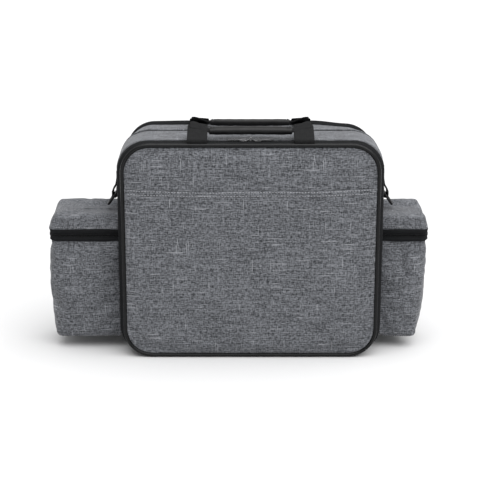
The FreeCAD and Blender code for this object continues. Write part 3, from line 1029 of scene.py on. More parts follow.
def strip(name: str, shares: np.ndarray, edges: Sequence[Edge], thick: float | Sequence[float],
          swell: Callable[[np.ndarray], np.ndarray] | None = None, ring: bool = False) -> Piece:
    """Long piece of cloth or tape that follows the bag's outline.

    Args:
        name: the piece's name.
        shares: where it runs, as shares of the outline's length.
        edges: the lines across its width.
        thick: its thickness, or one for each line.
        swell: gives how much further out each point stands, from the points.
        ring: True where it goes all the way round.

    Returns:
        The object.
    """
    columns = []
    for edge in edges:
        points, outward = edge.loop.at(shares)
        columns.append((upright(points + outward * edge.out, edge.y), upright(outward)))
    outer = np.stack([c[0] for c in columns], axis=1)
    away = np.stack([c[1] for c in columns], axis=1)
    across = np.gradient(outer, axis=1)
    along = np.gradient(outer, axis=0)
    facing = np.cross(across, along)
    facing /= np.maximum(np.linalg.norm(facing, axis=2, keepdims=True), 1e-9)
    facing *= np.where((facing * away).sum(axis=2, keepdims=True) < 0.0, -1.0, 1.0)
    depth = np.broadcast_to(np.asarray(thick, dtype=float), (len(edges),))[None, :, None]
    inner = outer - facing * depth
    if swell is not None:
        outer = outer + away * swell(outer)[..., None]
    wide = spread(outer[len(shares) // 2])
    length = edges[0].loop.length
    uv = np.stack(np.meshgrid(np.asarray(shares) * length, wide + edges[0].y, indexing="ij"), axis=-1)
    return slab(name, outer, inner, ring, uv)


# ---- the bag's shared outlines ----
class Place(Enum):
    """One of two opposite places on the bag."""

    @property
    def word(self) -> str:
        """The place's name, as the pieces use it."""
        return self.name.lower()


class Side(Place):
    """Left or right of the bag."""

    LEFT = -1
    RIGHT = 1


class Face(Place):
    """Front or rear of the bag."""

    FRONT = -1
    REAR = 1


@dataclass(frozen=True)
class BagFrame:
    """Outlines and depths that the sub-assemblies share, read from the fixed frame."""

    gusset: Loop
    panel: Loop
    front_edge: float
    rear_edge: float
    split: float
    front_zip: float
    main_zip: float

    @classmethod
    def read(cls) -> "BagFrame":
        """Measure the CAD nodes.

        Returns:
            The shared sizes.
        """
        gusset_corner, panel_corner = 48.0 * MM, 46.0 * MM
        low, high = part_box("side_base_gusset")
        top_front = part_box("top_gusset_front")[1]
        top_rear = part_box("top_gusset_rear")[0]
        edge_low, edge_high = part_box("front_piping")
        coil_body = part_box("front_zip_tape_body")[0]
        coil_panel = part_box("front_zip_tape_panel")[1]
        return cls(Loop(low.x, high.x, low.z, top_front.z, (gusset_corner,) * 4),
                   Loop(edge_low.x, edge_high.x, edge_low.z, edge_high.z, (panel_corner,) * 4),
                   low.y, high.y, high.z, (coil_body.y + coil_panel.y) / 2,
                   (top_front.y + top_rear.y) / 2)

    def shares(self, low_height: float, count: int, over_top: bool = False) -> np.ndarray:
        """Shares of the gusset's length between one height on both sides, over the top or under the base."""
        share = self.gusset.share_at_height(low_height)
        return np.linspace(share, 1.0 - share, count) if over_top else np.linspace(-share, share, count)

    def swell(self, points: np.ndarray) -> np.ndarray:
        """How far the padded gusset stands out of its outline.

        Args:
            points: places on the outline.

        Returns:
            The distance for each place.
        """
        x, y, z = points[..., 0], points[..., 1], points[..., 2]
        across = (y - self.front_edge) / (self.rear_edge - self.front_edge)
        bow = np.clip(1.0 - (2.0 * across - 1.0) ** 2, 0.0, 1.0) ** 0.6
        flank = step(np.abs(x), 150 * MM, 200 * MM) * step(z, 222 * MM, 288 * MM)
        crown = step(z, 335 * MM, 345 * MM) * (1.0 - step(np.abs(x), 60 * MM, 190 * MM) * 0.3)
        clear = step(np.abs(y - self.main_zip), 6 * MM, 22 * MM)
        loose = ripple(points, 46 * MM, 3.0) * 0.8 + ripple(points, 20 * MM, 8.0) * 0.35
        above = step(z, 205 * MM, 240 * MM)
        edge = step(across, 0.0, 0.05) * step(1.0 - across, 0.0, 0.05)
        hump = np.exp(-((y + 30 * MM) / (22 * MM)) ** 2) * np.exp(-(x / (70 * MM)) ** 2) * 2.4 - 0.5
        high = flank * bow * 1.8 * (1.0 - crown) + crown * clear * edge * hump
        return (high + loose * above * edge * clear * 0.9 - (1.0 - edge) * 0.5 * above) * MM


# ---- body ----
@dataclass
class Carcass:
    """Gussets, lining and base of the bag."""

    bag: BagFrame
    cloth: float = 1.2 * MM
    padded: float = 5.0 * MM
    lining: float = 0.8 * MM
    step_back: float = 6.0 * MM
    zip_clear: float = 9.5 * MM
    zip_shows: float = 4.2 * MM
    thread_proud: float = 0.1 * MM
    lining_clear: float = 13.5 * MM
    rows: int = 170

    def build(self) -> None:
        """Make every piece of the body."""
        bag = self.bag
        inner_zip, outer_zip = bag.main_zip - self.zip_shows, bag.main_zip + self.zip_shows
        self.gusset("body_gusset", bag.shares(bag.split, self.rows), bag.front_edge, bag.rear_edge,
                    ("side_base_gusset", "gusset_foam"))
        top = bag.shares(bag.split + 0.3 * MM, self.rows, True)
        self.gusset("top_gusset_front_strip", top, bag.front_edge, inner_zip, ("top_gusset_front",))
        self.gusset("top_gusset_rear_strip", top, outer_zip, bag.rear_edge, ("top_gusset_rear",))
        self.seams()
        self.lining_bands()
        self.base()

    def gusset(self, name: str, shares: np.ndarray, front: float, rear: float, nodes: Sequence[str]) -> None:
        """Padded band of the heathered cloth.

        Args:
            name: the piece's name.
            shares: where it runs.
            front: depth of its front edge.
            rear: depth of its rear edge.
            nodes: CAD nodes that it stands for.
        """
        bag = self.bag
        foam_front = front + (self.step_back if front == bag.front_edge else self.zip_clear)
        foam_rear = rear - (0.0 if rear == bag.rear_edge else self.zip_clear)
        middle = np.linspace(foam_front, foam_rear, 22)
        behind = foam_rear + 1.0 * MM if foam_rear < rear else rear
        ys = np.unique(np.concatenate([[front, front + 0.8 * MM, foam_front - 1.0 * MM], middle,
                                       [behind, rear - 0.8 * MM, rear]]))
        edges = [Edge(bag.gusset, -0.35 * MM if y in (front, rear) else 0.0, y) for y in ys]
        thick = [self.padded if foam_front <= y <= foam_rear else self.cloth for y in ys]
        band = strip(name, shares, edges, thick, bag.swell)
        dress(band, HEATHER, "carcass", nodes)

    def seams(self) -> None:
        """Topstitching beside the zips and across both sides of the gusset, just above where the top strips
        join it.
        """
        bag = self.bag
        beside = self.zip_shows + 2.2 * MM
        lines = (("front_zip_stitching", bag.front_edge + 2.4 * MM, bag.shares(32 * MM, 420, True)),
                 ("main_zip_stitching_front", bag.main_zip - beside, bag.shares(bag.split + 6 * MM, 300, True)),
                 ("main_zip_stitching_rear", bag.main_zip + beside, bag.shares(bag.split + 6 * MM, 300, True)))
        for name, y, shares in lines:
            Stitch().sew(name, self.on_gusset(y, shares), THREAD, "carcass")
        share = bag.gusset.share_at_height(bag.split + 3.0 * MM)
        for side in Side:
            place = share if side is Side.RIGHT else 1.0 - share
            ys = np.linspace(bag.front_edge + 2 * MM, bag.rear_edge - 2 * MM, 70)
            path = self.on_gusset(ys, np.full(len(ys), place))
            Stitch().sew(f"{side.word}_gusset_seam_stitching", path, THREAD, "carcass")

    def on_gusset(self, y: float | np.ndarray, shares: np.ndarray) -> Path:
        """Line on the gusset's swollen outside.

        Args:
            y: its depth, or one for each point.
            shares: where it runs.

        Returns:
            The path.
        """
        flat, outward = self.bag.gusset.at(shares)
        base, out = upright(flat, y), upright(outward)
        return Path(base + out * (self.bag.swell(base)[:, None] + self.thread_proud), out)

    def lining_bands(self) -> None:
        """Lining of the gussets, in three bands that leave the main zip clear."""
        bag = self.bag
        inside = bag.gusset.inset(self.padded + 0.05 * MM)
        front = bag.front_edge + self.step_back

        def crease(points: np.ndarray) -> np.ndarray:
            """Slight looseness towards the inside."""
            return -np.abs(ripple(points, 30 * MM, 21.0)) * 0.25 * MM

        top, clear = bag.shares(bag.split, 110, True), self.lining_clear
        bands = (("lining_sides_and_base", bag.shares(bag.split - 0.3 * MM, 130), front, bag.rear_edge),
                 ("lining_top_front", top, front, bag.main_zip - clear),
                 ("lining_top_rear", top, bag.main_zip + clear, bag.rear_edge))
        for name, shares, low, high in bands:
            edges = [Edge(inside, -0.1 * MM, y) for y in np.linspace(low, high, 14)]
            band = strip(name, shares, edges, self.lining, crease)
            dress(band, LINING, "carcass", ("gusset_lining",))

    def base(self) -> None:
        """Removable base board, wrapped in lining cloth."""
        low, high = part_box("base_board")
        plan = Loop(low.x, high.x, low.y, high.y, (8 * MM,) * 4)
        x, y = plan.fill(np.linspace(low.x, high.x, 60), np.linspace(low.y, high.y, 30))
        inside = plan.depth(x, y)
        top = high.z - 1.0 * MM * (1.0 - step(inside, -0.001 * MM, 3 * MM))
        upper = np.stack([x, y, top], axis=-1)
        lower = np.stack([x, y, np.full(x.shape, low.z + 0.2 * MM)], axis=-1)
        board = slab("base_board_cover", upper, lower, uv=np.stack([x, y], axis=-1))
        dress(board, LINING, "carcass", ("base_board",))


# ---- zips ----
@dataclass
class BodyZips:
    """Tapes, coils and bindings of the front panel's zip and of the main zip."""

    bag: BagFrame
    tape: float = 0.6 * MM
    tape_inset: float = 1.3 * MM
    coil_half_gap: float = 0.45 * MM
    tooth: Triple = (1.05 * MM, 2.5 * MM, 1.5 * MM)
    pitch: float = 1.35 * MM
    overlap: float = 0.35 * MM
    concealed_tooth: float = 1.3 * MM
    coil_low: float = 31.0 * MM
    tape_low: float = 11.0 * MM
    hinge_thick: float = 0.7 * MM
    fold_z: float = 10.0 * MM

    def build(self) -> None:
        """Make the two zips, the rear binding and the front panel's fabric hinge."""
        bag = self.bag
        deep = -self.tape_inset
        long = bag.shares(self.tape_low, 200, True)
        zip_y = bag.front_zip
        fixed = (bag.front_edge + 5 * MM, bag.front_edge, zip_y + 4 * MM, zip_y + 0.6 * MM)
        body = [Edge(bag.gusset, deep, y) for y in fixed]
        panel = [Edge(bag.gusset, deep, zip_y - 0.6 * MM), Edge(bag.gusset, deep, zip_y - 4 * MM),
                 Edge(bag.gusset, deep - 0.6 * MM, zip_y - 7.5 * MM),
                 Edge(bag.panel, -0.9 * MM, zip_y - 12.0 * MM),
                 Edge(bag.panel, -3.2 * MM, zip_y - 14.0 * MM)]
        self.band("front_zip_body_tape", long, body, "carcass", ("front_zip_tape_body",))
        self.band("front_zip_panel_tape", long, panel, "front_panel", ("front_zip_tape_panel",))
        coil = bag.shares(self.coil_low, 900, True)
        self.coil("front_zip_body_coil", coil, zip_y, 1, deep + 0.2 * MM, "carcass")
        self.coil("front_zip_panel_coil", coil, zip_y, -1, deep + 0.2 * MM, "front_panel")

        over = bag.shares(bag.split + 5 * MM, 150, True)
        for face in Face:
            side = face.value
            near, far = bag.main_zip + side * 0.6 * MM, bag.main_zip + side * 13.0 * MM
            edges = [Edge(bag.gusset, deep, near), Edge(bag.gusset, deep, far)]
            self.band(f"main_zip_{face.word}_tape", over, edges, "carcass", (f"main_zip_tape_{face.word}",))
            teeth = bag.shares(bag.split + 7 * MM, 700, True)
            self.coil(f"main_zip_{face.word}_coil", teeth, bag.main_zip, side, deep - 0.1 * MM, "carcass",
                      self.concealed_tooth)
        self.rear_binding()
        self.fabric_hinge()

    def band(self, name: str, shares: np.ndarray, edges: Sequence[Edge], body: str,
             nodes: Sequence[str]) -> None:
        """One tape."""
        dress(strip(name, shares, edges, self.tape), TAPE, body, nodes)

    def coil(self, name: str, shares: np.ndarray, y: float, side: int, out: float, body: str,
             width: float | None = None) -> None:
        """Row of coil teeth on one side of a zip.

        Args:
            name: the piece's name.
            shares: where it runs.
            y: depth of the zip's middle.
            side: 1 for the rear row and -1 for the front row.
            out: how far out of the gusset the coil runs.
            body: the body that it rides on.
            width: length of each tooth across the zip, where it isn't the usual one.
        """
        along, across, high = self.tooth
        across = width or across
        flat, outward = self.bag.gusset.at(shares)
        place = y + side * (self.coil_half_gap + across / 2 - self.overlap)
        facing = upright(outward)
        row = Path(upright(flat, place) + facing * out, facing).shape(
            name, unit_tree, COIL, spacing=self.pitch, length=along, width=across, height=high)
        dress(row, COIL, body)

    def rear_binding(self) -> None:
        """Black binding that joins the gusset to the back panel."""
        bag = self.bag
        y = bag.rear_edge
        ring = np.arange(320) / 320
        section = ((-7.0, 0.3), (-6.0, 1.2), (-4.0, 2.6), (-1.5, 3.9), (1.0, 4.6), (3.5, 4.5), (6.0, 3.6),
                   (8.0, 2.2), (9.0, 0.6), (10.5, 0.0))
        backs, rolls = zip(*section)
        edges = edges_across(y, *((bag.gusset, -0.3, back) for back in backs[:-2]),
                             (bag.panel, -0.9, backs[-2]), (bag.panel, -3.2, backs[-1]))

        def bound_roll(points: np.ndarray) -> np.ndarray:
            """Roll of the bound seam, pressed flat under the base and weaker down the flanks."""
            roll = np.interp((points[..., 1] - y) / MM, backs, rolls) * MM
            z = points[..., 2]
            full = step(z, 2 * MM, 46 * MM) * (0.35 + 0.65 * step(z, 310 * MM, 343 * MM))
            return roll * full + 0.2 * MM

        piece = strip("rear_binding", ring, edges, 0.8 * MM, bound_roll, ring=True)
        dress(piece, TAPE, "carcass", ("back_binding",))

    def fabric_hinge(self) -> None:
        """Black strip that joins the base to the front panel, round both lower corners."""
        bag = self.bag
        shares = bag.shares(9.0 * MM, 120)
        gusset, panel, y = bag.gusset, bag.panel, bag.front_edge
        edges = edges_across(y, (gusset, -1.4, 3.5), (gusset, -1.3, 0.0), (gusset, -1.0, -5.0),
                             (gusset, -1.1, -10.0), (gusset, -1.6, -15.0), (panel, -1.4, -20.0),
                             (panel, -3.4, -22.0))
        piece = strip("panel_hinge_cloth", shares, edges, self.hinge_thick)
        dress(piece, TAPE, None, ("panel_hinge_strip",))
        y - 3 * MM
        y - 17 * MM
        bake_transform(piece)


# ---- panels ----
@dataclass
class PaddedPanel:
    """Front or back panel: a crowned pad in piping, with its inner face."""

    bag: BagFrame
    face: Face
    cover_inset: float = 6.3 * MM
    groove: float = 2.4 * MM
    pad_back: float = 1.0 * MM
    pillow: float = 3.2 * MM
    columns: int = 110
    rows: int = 92
    cover: float = 88.6 * MM
    piping_radius: float = 3.0 * MM
    middle: float = 172.0 * MM

    @property
    def body(self) -> str:
        """The body that the panel rides on."""
        return "front_panel" if self.face is Face.FRONT else "carcass"

    def build(self) -> None:
        """Make the pad, its piping and the inner face."""
        sign = self.face.value
        word = "front" if self.face is Face.FRONT else "back"
        outline = self.bag.panel.inset(self.cover_inset)
        self.x, self.z = outline.fill(self.spacing(outline.left, outline.right, self.columns),
                                      self.spacing(outline.low, outline.high, self.rows))
        inside = outline.depth(self.x, self.z)
        rise = 1.0 - np.clip(1.0 - inside / (20 * MM), 0.0, 1.0) ** 2.4
        broad = (1.0 - (self.x / outline.right) ** 2) * (1.0 - ((self.z - self.middle) / self.middle) ** 2)
        flat = np.stack([self.x, np.zeros_like(self.x), self.z], axis=-1)
        waves = ripple(flat, 75 * MM, 5.0 + sign) * 0.55 + ripple(flat, 28 * MM, 15.0 + sign) * 0.16
        puckers = ripple(flat, 9 * MM, 40.0) * 0.3 * (1.0 - step(inside, 2 * MM, 16 * MM))
        lift = -self.groove * (1.0 - rise) + self.pillow * broad + (waves * MM + puckers * MM) * rise
        front = np.stack([self.x, sign * (self.cover + lift), self.z], axis=-1)
        behind = np.full(self.x.shape, sign * (self.bag_depth() + self.pad_back))
        back = np.stack([self.x, behind, self.z], axis=-1)
        uv = np.stack([self.x, self.z], axis=-1)
        pad = slab(f"{word}_pad", front, back, uv=uv)
        front = self.settle(pad, front, sign)
        bpy.data.objects.remove(pad)
        pad = slab(f"{word}_pad", front, back, uv=uv)
        self.front = front
        dress(pad, HEATHER, self.body, (f"{word}_cover", f"{word}_foam"))
        self.piping(word, sign)
        self.inner_face(word, sign)
        board = frame["nodes"][f"{word}_board"]
        board.data.materials.clear()
        board.data.materials.append(BOARD.material())

    def bag_depth(self) -> float:
        """Depth of the board's outside, which the pad lies on."""
        low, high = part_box("front_board" if self.face is Face.FRONT else "back_board")
        return max(abs(low.y), abs(high.y))

    @staticmethod
    def spacing(low: float, high: float, count: int) -> np.ndarray:
        """Places from low to high, closer together near both ends."""
        t = np.linspace(-1.0, 1.0, count)
        bent = np.sin(t * math.pi / 2) * 0.45 + t * 0.55
        return low + (bent + 1.0) / 2 * (high - low)

    def settle(self, pad: Piece, front: np.ndarray, sign: int) -> np.ndarray:
        """Let the pad's outer cloth settle over its foam.

        Args:
            pad: the pad; not used.
            front: its outer points.
            sign: -1 for the front panel and 1 for the back.

        Returns:
            The settled outer points.
        """
        rows, columns = front.shape[:2]
        skin = slab("pad_trial", front, front - np.array([0.0, sign * 1.0 * MM, 0.0]))
        size = columns * 2 + 2
        pinned = np.zeros((rows, size))
        pinned[[0, -1]] = 1.0
        pinned[:, 0] = pinned[:, columns + 1] = 1.0
        pinned[:, 1] = pinned[:, columns] = 1.0
        settled = relax(skin, pinned.ravel(), 1.2, -0.012, 3.0 * MM, 16)
        bpy.data.objects.remove(skin)
        return settled.reshape(rows, size, 3)[:, 1:columns + 1]

    def piping(self, word: str, sign: int) -> None:
        """Vinyl piping round the pad, with its sewn flange."""
        ring = np.arange(360) / 360
        flat, outward = self.bag.panel.inset(self.piping_radius).at(ring)
        low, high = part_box(f"{word}_piping")
        y = (low.y + high.y) / 2
        cord = Path(upright(flat, y), upright(outward), True).shape(
            f"{word}_piping_cord", cord_tree, VINYL, radius=self.piping_radius)
        dress(cord, VINYL, self.body, (f"{word}_piping",))
        panel = self.bag.panel
        edges = edges_across(y, (panel, -3.0, -sign * 2.2), (panel, -5.6, -sign * 0.6),
                             (panel, -8.0, -sign * 1.0))
        flange = strip(f"{word}_piping_flange", ring, edges, 0.6 * MM, ring=True)
        dress(flange, VINYL, self.body)

    def inner_face(self, word: str, sign: int) -> None:
        """Work mat or lining on the inside of the panel, with a bound edge."""
        front = self.face is Face.FRONT
        node = "front_inner_mat" if front else "back_lining"
        low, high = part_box(node)
        outer_y, inner_y = (high.y, low.y) if front else (low.y, high.y)
        outline = self.bag.panel.inset(5.5 * MM)
        x, z = outline.fill(self.spacing(outline.left, outline.right, 60),
                            self.spacing(outline.low, outline.high, 52))
        inside = outline.depth(x, z)
        flat = np.stack([x, np.zeros_like(x), z], axis=-1)
        soft = (ripple(flat, 60 * MM, 31.0) * 0.12 - 0.12) * step(inside, 0.0, 20 * MM)
        drop = (0.5 * (1.0 - step(inside, 0.0, 6 * MM)) - soft) * MM
        face = np.stack([x, outer_y + sign * drop, z], axis=-1)
        back = np.stack([x, np.full(x.shape, inner_y), z], axis=-1)
        finish, slot = (MAT, "wipe_clean_mat") if front else (LINING, "lining_cloth")
        mat = slab("inner_work_mat" if front else "back_lining_cloth", face, back, uv=np.stack([x, z], axis=-1))
        dress(mat, finish, self.body, (node,))
        ring = np.arange(260) / 260
        panel = self.bag.panel
        edges = edges_across(outer_y, (panel, -4.4, sign * 3.0), (panel, -4.4, sign * 0.5),
                             (panel, -6.2, -sign * 0.55), (panel, -11.5, -sign * 0.5))
        binding = strip(f"{word}_inner_binding", ring, edges, 0.5 * MM, ring=True)
        dress(binding, TAPE, self.body)
        line, _ = panel.inset(9.5 * MM).at(ring)
        facing = np.tile([0.0, -float(sign), 0.0], (len(ring), 1))
        path = upright(line, outer_y - sign * 0.65 * MM)
        Stitch().sew(f"{word}_inner_binding_stitching", Path(path, facing, True), THREAD, self.body)


@dataclass
class SlipPocket:
    """Flat pocket across the front pad, with a turned hem along its mouth."""

    panel: PaddedPanel
    gap: float = 0.25 * MM
    cloth: float = 0.7 * MM
    hem_deep: float = 9.0 * MM

    def build(self) -> None:
        """Make the pocket, its hem and the hem's two stitched lines."""
        panel = self.panel
        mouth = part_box("pocket_hem")[1].z
        inside = panel.bag.panel.inset(panel.cover_inset).depth(panel.x, panel.z)
        columns = panel.x.shape[1]
        rows = int(np.searchsorted(panel.z[:, columns // 2], mouth - 3.5 * MM))
        share = panel.x[0] / panel.x[:, -1].max()
        sag = (-2.6 * (1.0 - share ** 2) + 0.9 * share + 0.5 * np.sin(share * 7.0 + 1.0)) * MM
        base = panel.front.copy()
        off = self.gap * step(inside, 0.2 * MM, 5 * MM) + 0.35 * MM * step(panel.z, mouth - 50 * MM, mouth)
        base[..., 1] -= off
        body = base[:rows]
        top = base[rows - 1].copy()
        top[:, 2] = mouth + sag
        top[:, 1] = self.height_at(base, top[:, 2]) - 0.15 * MM
        body = np.concatenate([body, top[None]])
        outer = body - np.array([0.0, self.cloth, 0.0])
        uv = body[..., [0, 2]] + np.array([0.21, 0.13])
        pocket = slab("slip_pocket_cloth", outer, body, uv=uv)
        dress(pocket, HEATHER, "front_panel", ("slip_pocket",))
        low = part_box("slip_pocket")[0]
        width, tall = -2.0 * low.x, mouth - low.z
        width * tall - (2 - math.pi / 2) * (panel.bag.panel.corners[0] - panel.cover_inset) ** 2
        log.info("slip pocket, flat %.0f x %.0f mm", width / MM, tall / MM)
        self.hem(base, top)

    @staticmethod
    def height_at(base: np.ndarray, z: np.ndarray) -> np.ndarray:
        """Depth of the pad's surface at a height, for each column."""
        return np.array([np.interp(z[c], base[:, c, 2], base[:, c, 1]) for c in range(base.shape[1])])

    def hem(self, base: np.ndarray, top: np.ndarray) -> None:
        """Turned hem, a little thicker than the pocket, with its stitching."""
        rows = []
        section = ((self.hem_deep, 0.0), (self.hem_deep - 1.2 * MM, 0.35), (5.0 * MM, 0.5), (1.2 * MM, 0.45),
                   (-0.3 * MM, 0.2))
        for down, proud in section:
            line = top.copy()
            line[:, 2] -= down
            line[:, 1] = self.height_at(base, line[:, 2]) - self.cloth - (0.15 + proud) * MM
            rows.append(line)
        outer = np.stack(rows)
        inner = outer.copy()
        inner[..., 1] += 0.5 * MM
        outer, inner = outer[:, 1:-1], inner[:, 1:-1]
        band = slab("slip_pocket_hem", outer, inner, uv=outer[..., [0, 2]] + np.array([0.05, 0.4]))
        dress(band, HEATHER, "front_panel", ("pocket_hem",))
        facing = np.tile([0.0, -1.0, 0.0], (len(top) - 6, 1))
        lines = (("slip_pocket_hem_stitching", self.hem_deep - 1.8 * MM),
                 ("slip_pocket_edge_stitching", 1.6 * MM))
        for name, down in lines:
            line = top[3:-3].copy()
            line[:, 2] -= down
            line[:, 1] = self.height_at(base, top[:, 2] - down)[3:-3] - self.cloth - 0.62 * MM
            Stitch(3.4 * MM, 1.1 * MM, 0.8 * MM).sew(name, Path(line, facing), PALE_THREAD, "front_panel")


# ---- handles ----
@dataclass
class CarryHandle:
    """Folding handle: two webbing legs, their turned corners and a stitched grip."""

    face: Face
    web_inner: float = 67.0 * MM
    web_outer: float = 97.0 * MM
    web_thick: float = 1.9 * MM
    anchor_deep: float = 10.0 * MM
    grip_half: float = 65.0 * MM
    grip_wide: float = 7.0 * MM
    grip_thick: float = 5.4 * MM
    arch: float = 1.2 * MM

    def __post_init__(self) -> None:
        """Find the fold line and the two bodies that it joins."""
        sign = self.face.value
        low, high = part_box(f"{self.face.word}_handle_anchors")
        self.fold_y = (low.y + high.y) / 2
        self.fold_z = high.z + 1.2 * MM
        self.body = f"{self.face.word}_handle"
        self.parent = "front_panel" if self.face is Face.FRONT else "carcass"
        self.inward = -sign
        grip_low, grip_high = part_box(f"{self.face.word}_handle_grip")
        middle = (grip_low + grip_high) / 2
        ahead, up = abs(middle.y - self.fold_y), middle.z - self.fold_z
        self.lean = math.atan2(ahead, up)
        self.grip_reach = math.hypot(ahead, up)
        self.curl = (8.0 if self.face is Face.REAR else 1.0) * MM

    def place(self, x: np.ndarray, walked: np.ndarray, lift: np.ndarray) -> np.ndarray:
        """Put handle measures into the bag's frame.

        Args:
            x: place along the bag.
            walked: distance from the fold line along the webbing; below 0 is the sewn end.
            lift: distance out of the handle's plane, upwards.

        Returns:
            The points.
        """
        x, walked, lift = np.broadcast_arrays(x, walked, lift)
        table = np.linspace(-self.anchor_deep, 60 * MM, 700)
        angle = self.lean * step(table, -2.5 * MM, 3.0 * MM)
        ahead = np.concatenate([[0.0], np.cumsum(np.diff(table))])
        y = np.concatenate([[0.0], np.cumsum(np.diff(ahead) * np.sin(angle[1:]))])
        z = np.concatenate([[0.0], np.cumsum(np.diff(ahead) * np.cos(angle[1:]))])
        start = float(np.interp(0.0, table, z))
        way_y, way_z = np.interp(walked, table, y), np.interp(walked, table, z) - start
        tilt = np.interp(walked, table, angle)
        return np.stack([x, self.fold_y + self.inward * (way_y - lift * np.cos(tilt)),
                         self.fold_z + way_z + lift * np.sin(tilt)], axis=-1)

    def build(self) -> None:
        """Make the legs, corners and grip."""
        word = self.face.word
        for side in Side:
            self.leg(f"{word}_handle_leg_{side.word}", side.value)
            self.corner(f"{word}_handle_corner_{side.word}", side.value)
        self.grip(f"{word}_handle_grip_wrap")

    def leg(self, name: str, side: int) -> None:
        """Webbing from the seam over the fold to its cut end under the turned corner."""
        x = np.linspace(self.web_inner, self.web_outer, 17)
        end = np.interp(x, [self.web_inner, self.web_outer - 5 * MM, self.web_outer],
                        [43 * MM, 50 * MM, 40 * MM])
        share = np.linspace(0.0, 1.0, 46)[:, None]
        walked = -self.anchor_deep + share * (end + self.anchor_deep)
        cup = 0.35 * MM * (1.0 - ((x - x.mean()) / (x.max() - x.mean())) ** 2) * step(walked, 4 * MM, 25 * MM)
        sag = 0.9 * MM * np.sin(np.clip(walked / end, 0, 1) * math.pi) * step(walked, 4 * MM, 20 * MM)
        rise = cup + sag + self.curl * self.curling(walked)
        outer = self.place(side * x, walked, self.web_thick / 2 + rise)
        inner = self.place(side * x, walked, -self.web_thick / 2 + rise)
        leg = slab(name, outer, inner, uv=np.stack(np.broadcast_arrays(walked, x), axis=-1))
        word = self.face.word
        dress(leg, WEBBING, None, (f"{word}_handle_anchors", f"{word}_handle_webbing"))
        start, end_point = self.place(0.0, np.array([-1.5 * MM, 4.5 * MM]), 0.0)
        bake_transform(leg)
        box_x = np.array([self.web_inner + 3 * MM, self.web_outer - 3 * MM])
        near, far = 22 * MM, 37 * MM
        corners = [(box_x[0], near), (box_x[1], near), (box_x[1], far), (box_x[0], far), (box_x[0], near)]
        path_x, path_s = sewn_figure(corners, 30)
        lift = self.web_thick / 2 + 1.25 * MM + self.curl * self.curling(path_s)
        self.sew(f"{name}_stitching", side * path_x, path_s, lift, True)

    def sew(self, name: str, x: np.ndarray | float, walked: np.ndarray, lift: np.ndarray | float,
            closed: bool = False) -> None:
        """Sew a line that faces out of the handle's plane."""
        points = self.place(x, walked, lift)
        out = points - self.place(x, walked, 0.0)
        Stitch().sew(name, Path(points, out, closed), THREAD, self.body)

    @staticmethod
    def curling(walked: np.ndarray) -> np.ndarray:
        """How much of the curl there is at a distance from the fold line."""
        return step(walked, 20 * MM, 54 * MM)

    def corner(self, name: str, side: int) -> None:
        """Webbing turned from the leg into the grip and folded to half its width."""
        share = np.linspace(0.0, 1.0, 30)
        x = np.interp(share, [0.0, 1.0], [self.web_outer - 3.2 * MM, self.grip_half - 7 * MM])
        narrow = step(share, 0.1, 0.95)
        middle = self.grip_reach + (40.5 * MM - self.grip_reach) * (1.0 - narrow)
        half = 9.5 * MM * (1.0 - narrow) + 5.6 * MM * narrow
        cut = 1.0 - 0.16 * (1.0 - step(share, 0.0, 0.12))
        across = np.linspace(-1.0, 1.0, 11)
        walked = middle[:, None] + across[None] * (half * cut)[:, None]
        roll = 1.4 * MM * narrow[:, None] * (1.0 - across[None] ** 2)
        rise = self.curl * self.curling(walked) * (1 - narrow[:, None])
        lift = self.web_thick + 0.8 * MM * (1 - narrow[:, None]) - 0.4 * MM * narrow[:, None] + rise
        outer = self.place(side * x[:, None], walked, lift + roll)
        inner = self.place(side * x[:, None], walked, lift - self.web_thick - roll * 0.8)
        fold = slab(name, outer, inner, uv=np.stack(np.broadcast_arrays(x[:, None], walked), axis=-1))
        dress(fold, WEBBING, self.body)

    def grip(self, name: str) -> None:
        """Grip wrapped in imitation leather, with a raised seam and stitched ends."""
        share = np.linspace(-1.0, 1.0, 90)
        x = share * self.grip_half
        arch = self.arch * (1.0 - share ** 2)
        plump = 1.0 - 0.10 * step(np.abs(share), 0.80, 0.9)
        end = np.sqrt(np.clip(1.0 - np.clip((np.abs(share) - 0.965) / 0.035, 0.0, 1.0) ** 2, 0.12, 1.0))
        round_s, round_t = self.section(28)
        pinch = 1.0 + 0.015 * np.sin(x[:, None] / (3.1 * MM)) * (1 - step(np.abs(share), 0.9, 1.0))[:, None]
        wide = (self.grip_wide * plump * end)[:, None] * round_s[None] * pinch
        thick = (self.grip_thick * plump * end)[:, None] * round_t[None] * pinch
        loops = self.place(x[:, None], self.grip_reach + arch[:, None] + wide, thick)
        grip = tube(name, loops)
        dress(grip, LEATHER, self.body, (f"{self.face.word}_handle_grip",))
        line = np.linspace(-0.93, 0.93, 120)
        for label, offset in (("top", 0.35), ("under", -0.35)):
            at = self.grip_reach + self.arch * (1 - line ** 2) + offset * self.grip_wide
            self.sew(f"{name}_seam_{label}", line * self.grip_half, at, self.grip_thick * 0.93)
        ring_s, ring_t = self.section(48)
        end_share, sunk = 0.86, 0.94
        at = self.grip_reach + self.arch * (1 - end_share ** 2)
        for side in Side:
            x = side.value * self.grip_half * end_share
            points = self.place(x, at + self.grip_wide * sunk * ring_s, self.grip_thick * sunk * ring_t)
            out = points - self.place(x, at, 0.0)
            Stitch().sew(f"{name}_end_{side.word}", Path(points, out, True), THREAD, self.body)

    @staticmethod
    def section(count: int) -> tuple[np.ndarray, np.ndarray]:
        """Places round the grip's section, a circle drawn towards a square."""
        turn = np.linspace(0.0, 2.0 * math.pi, count + 1)[:-1]
        return tuple(np.sign(way) * np.abs(way) ** 0.72 for way in (np.cos(turn), np.sin(turn)))


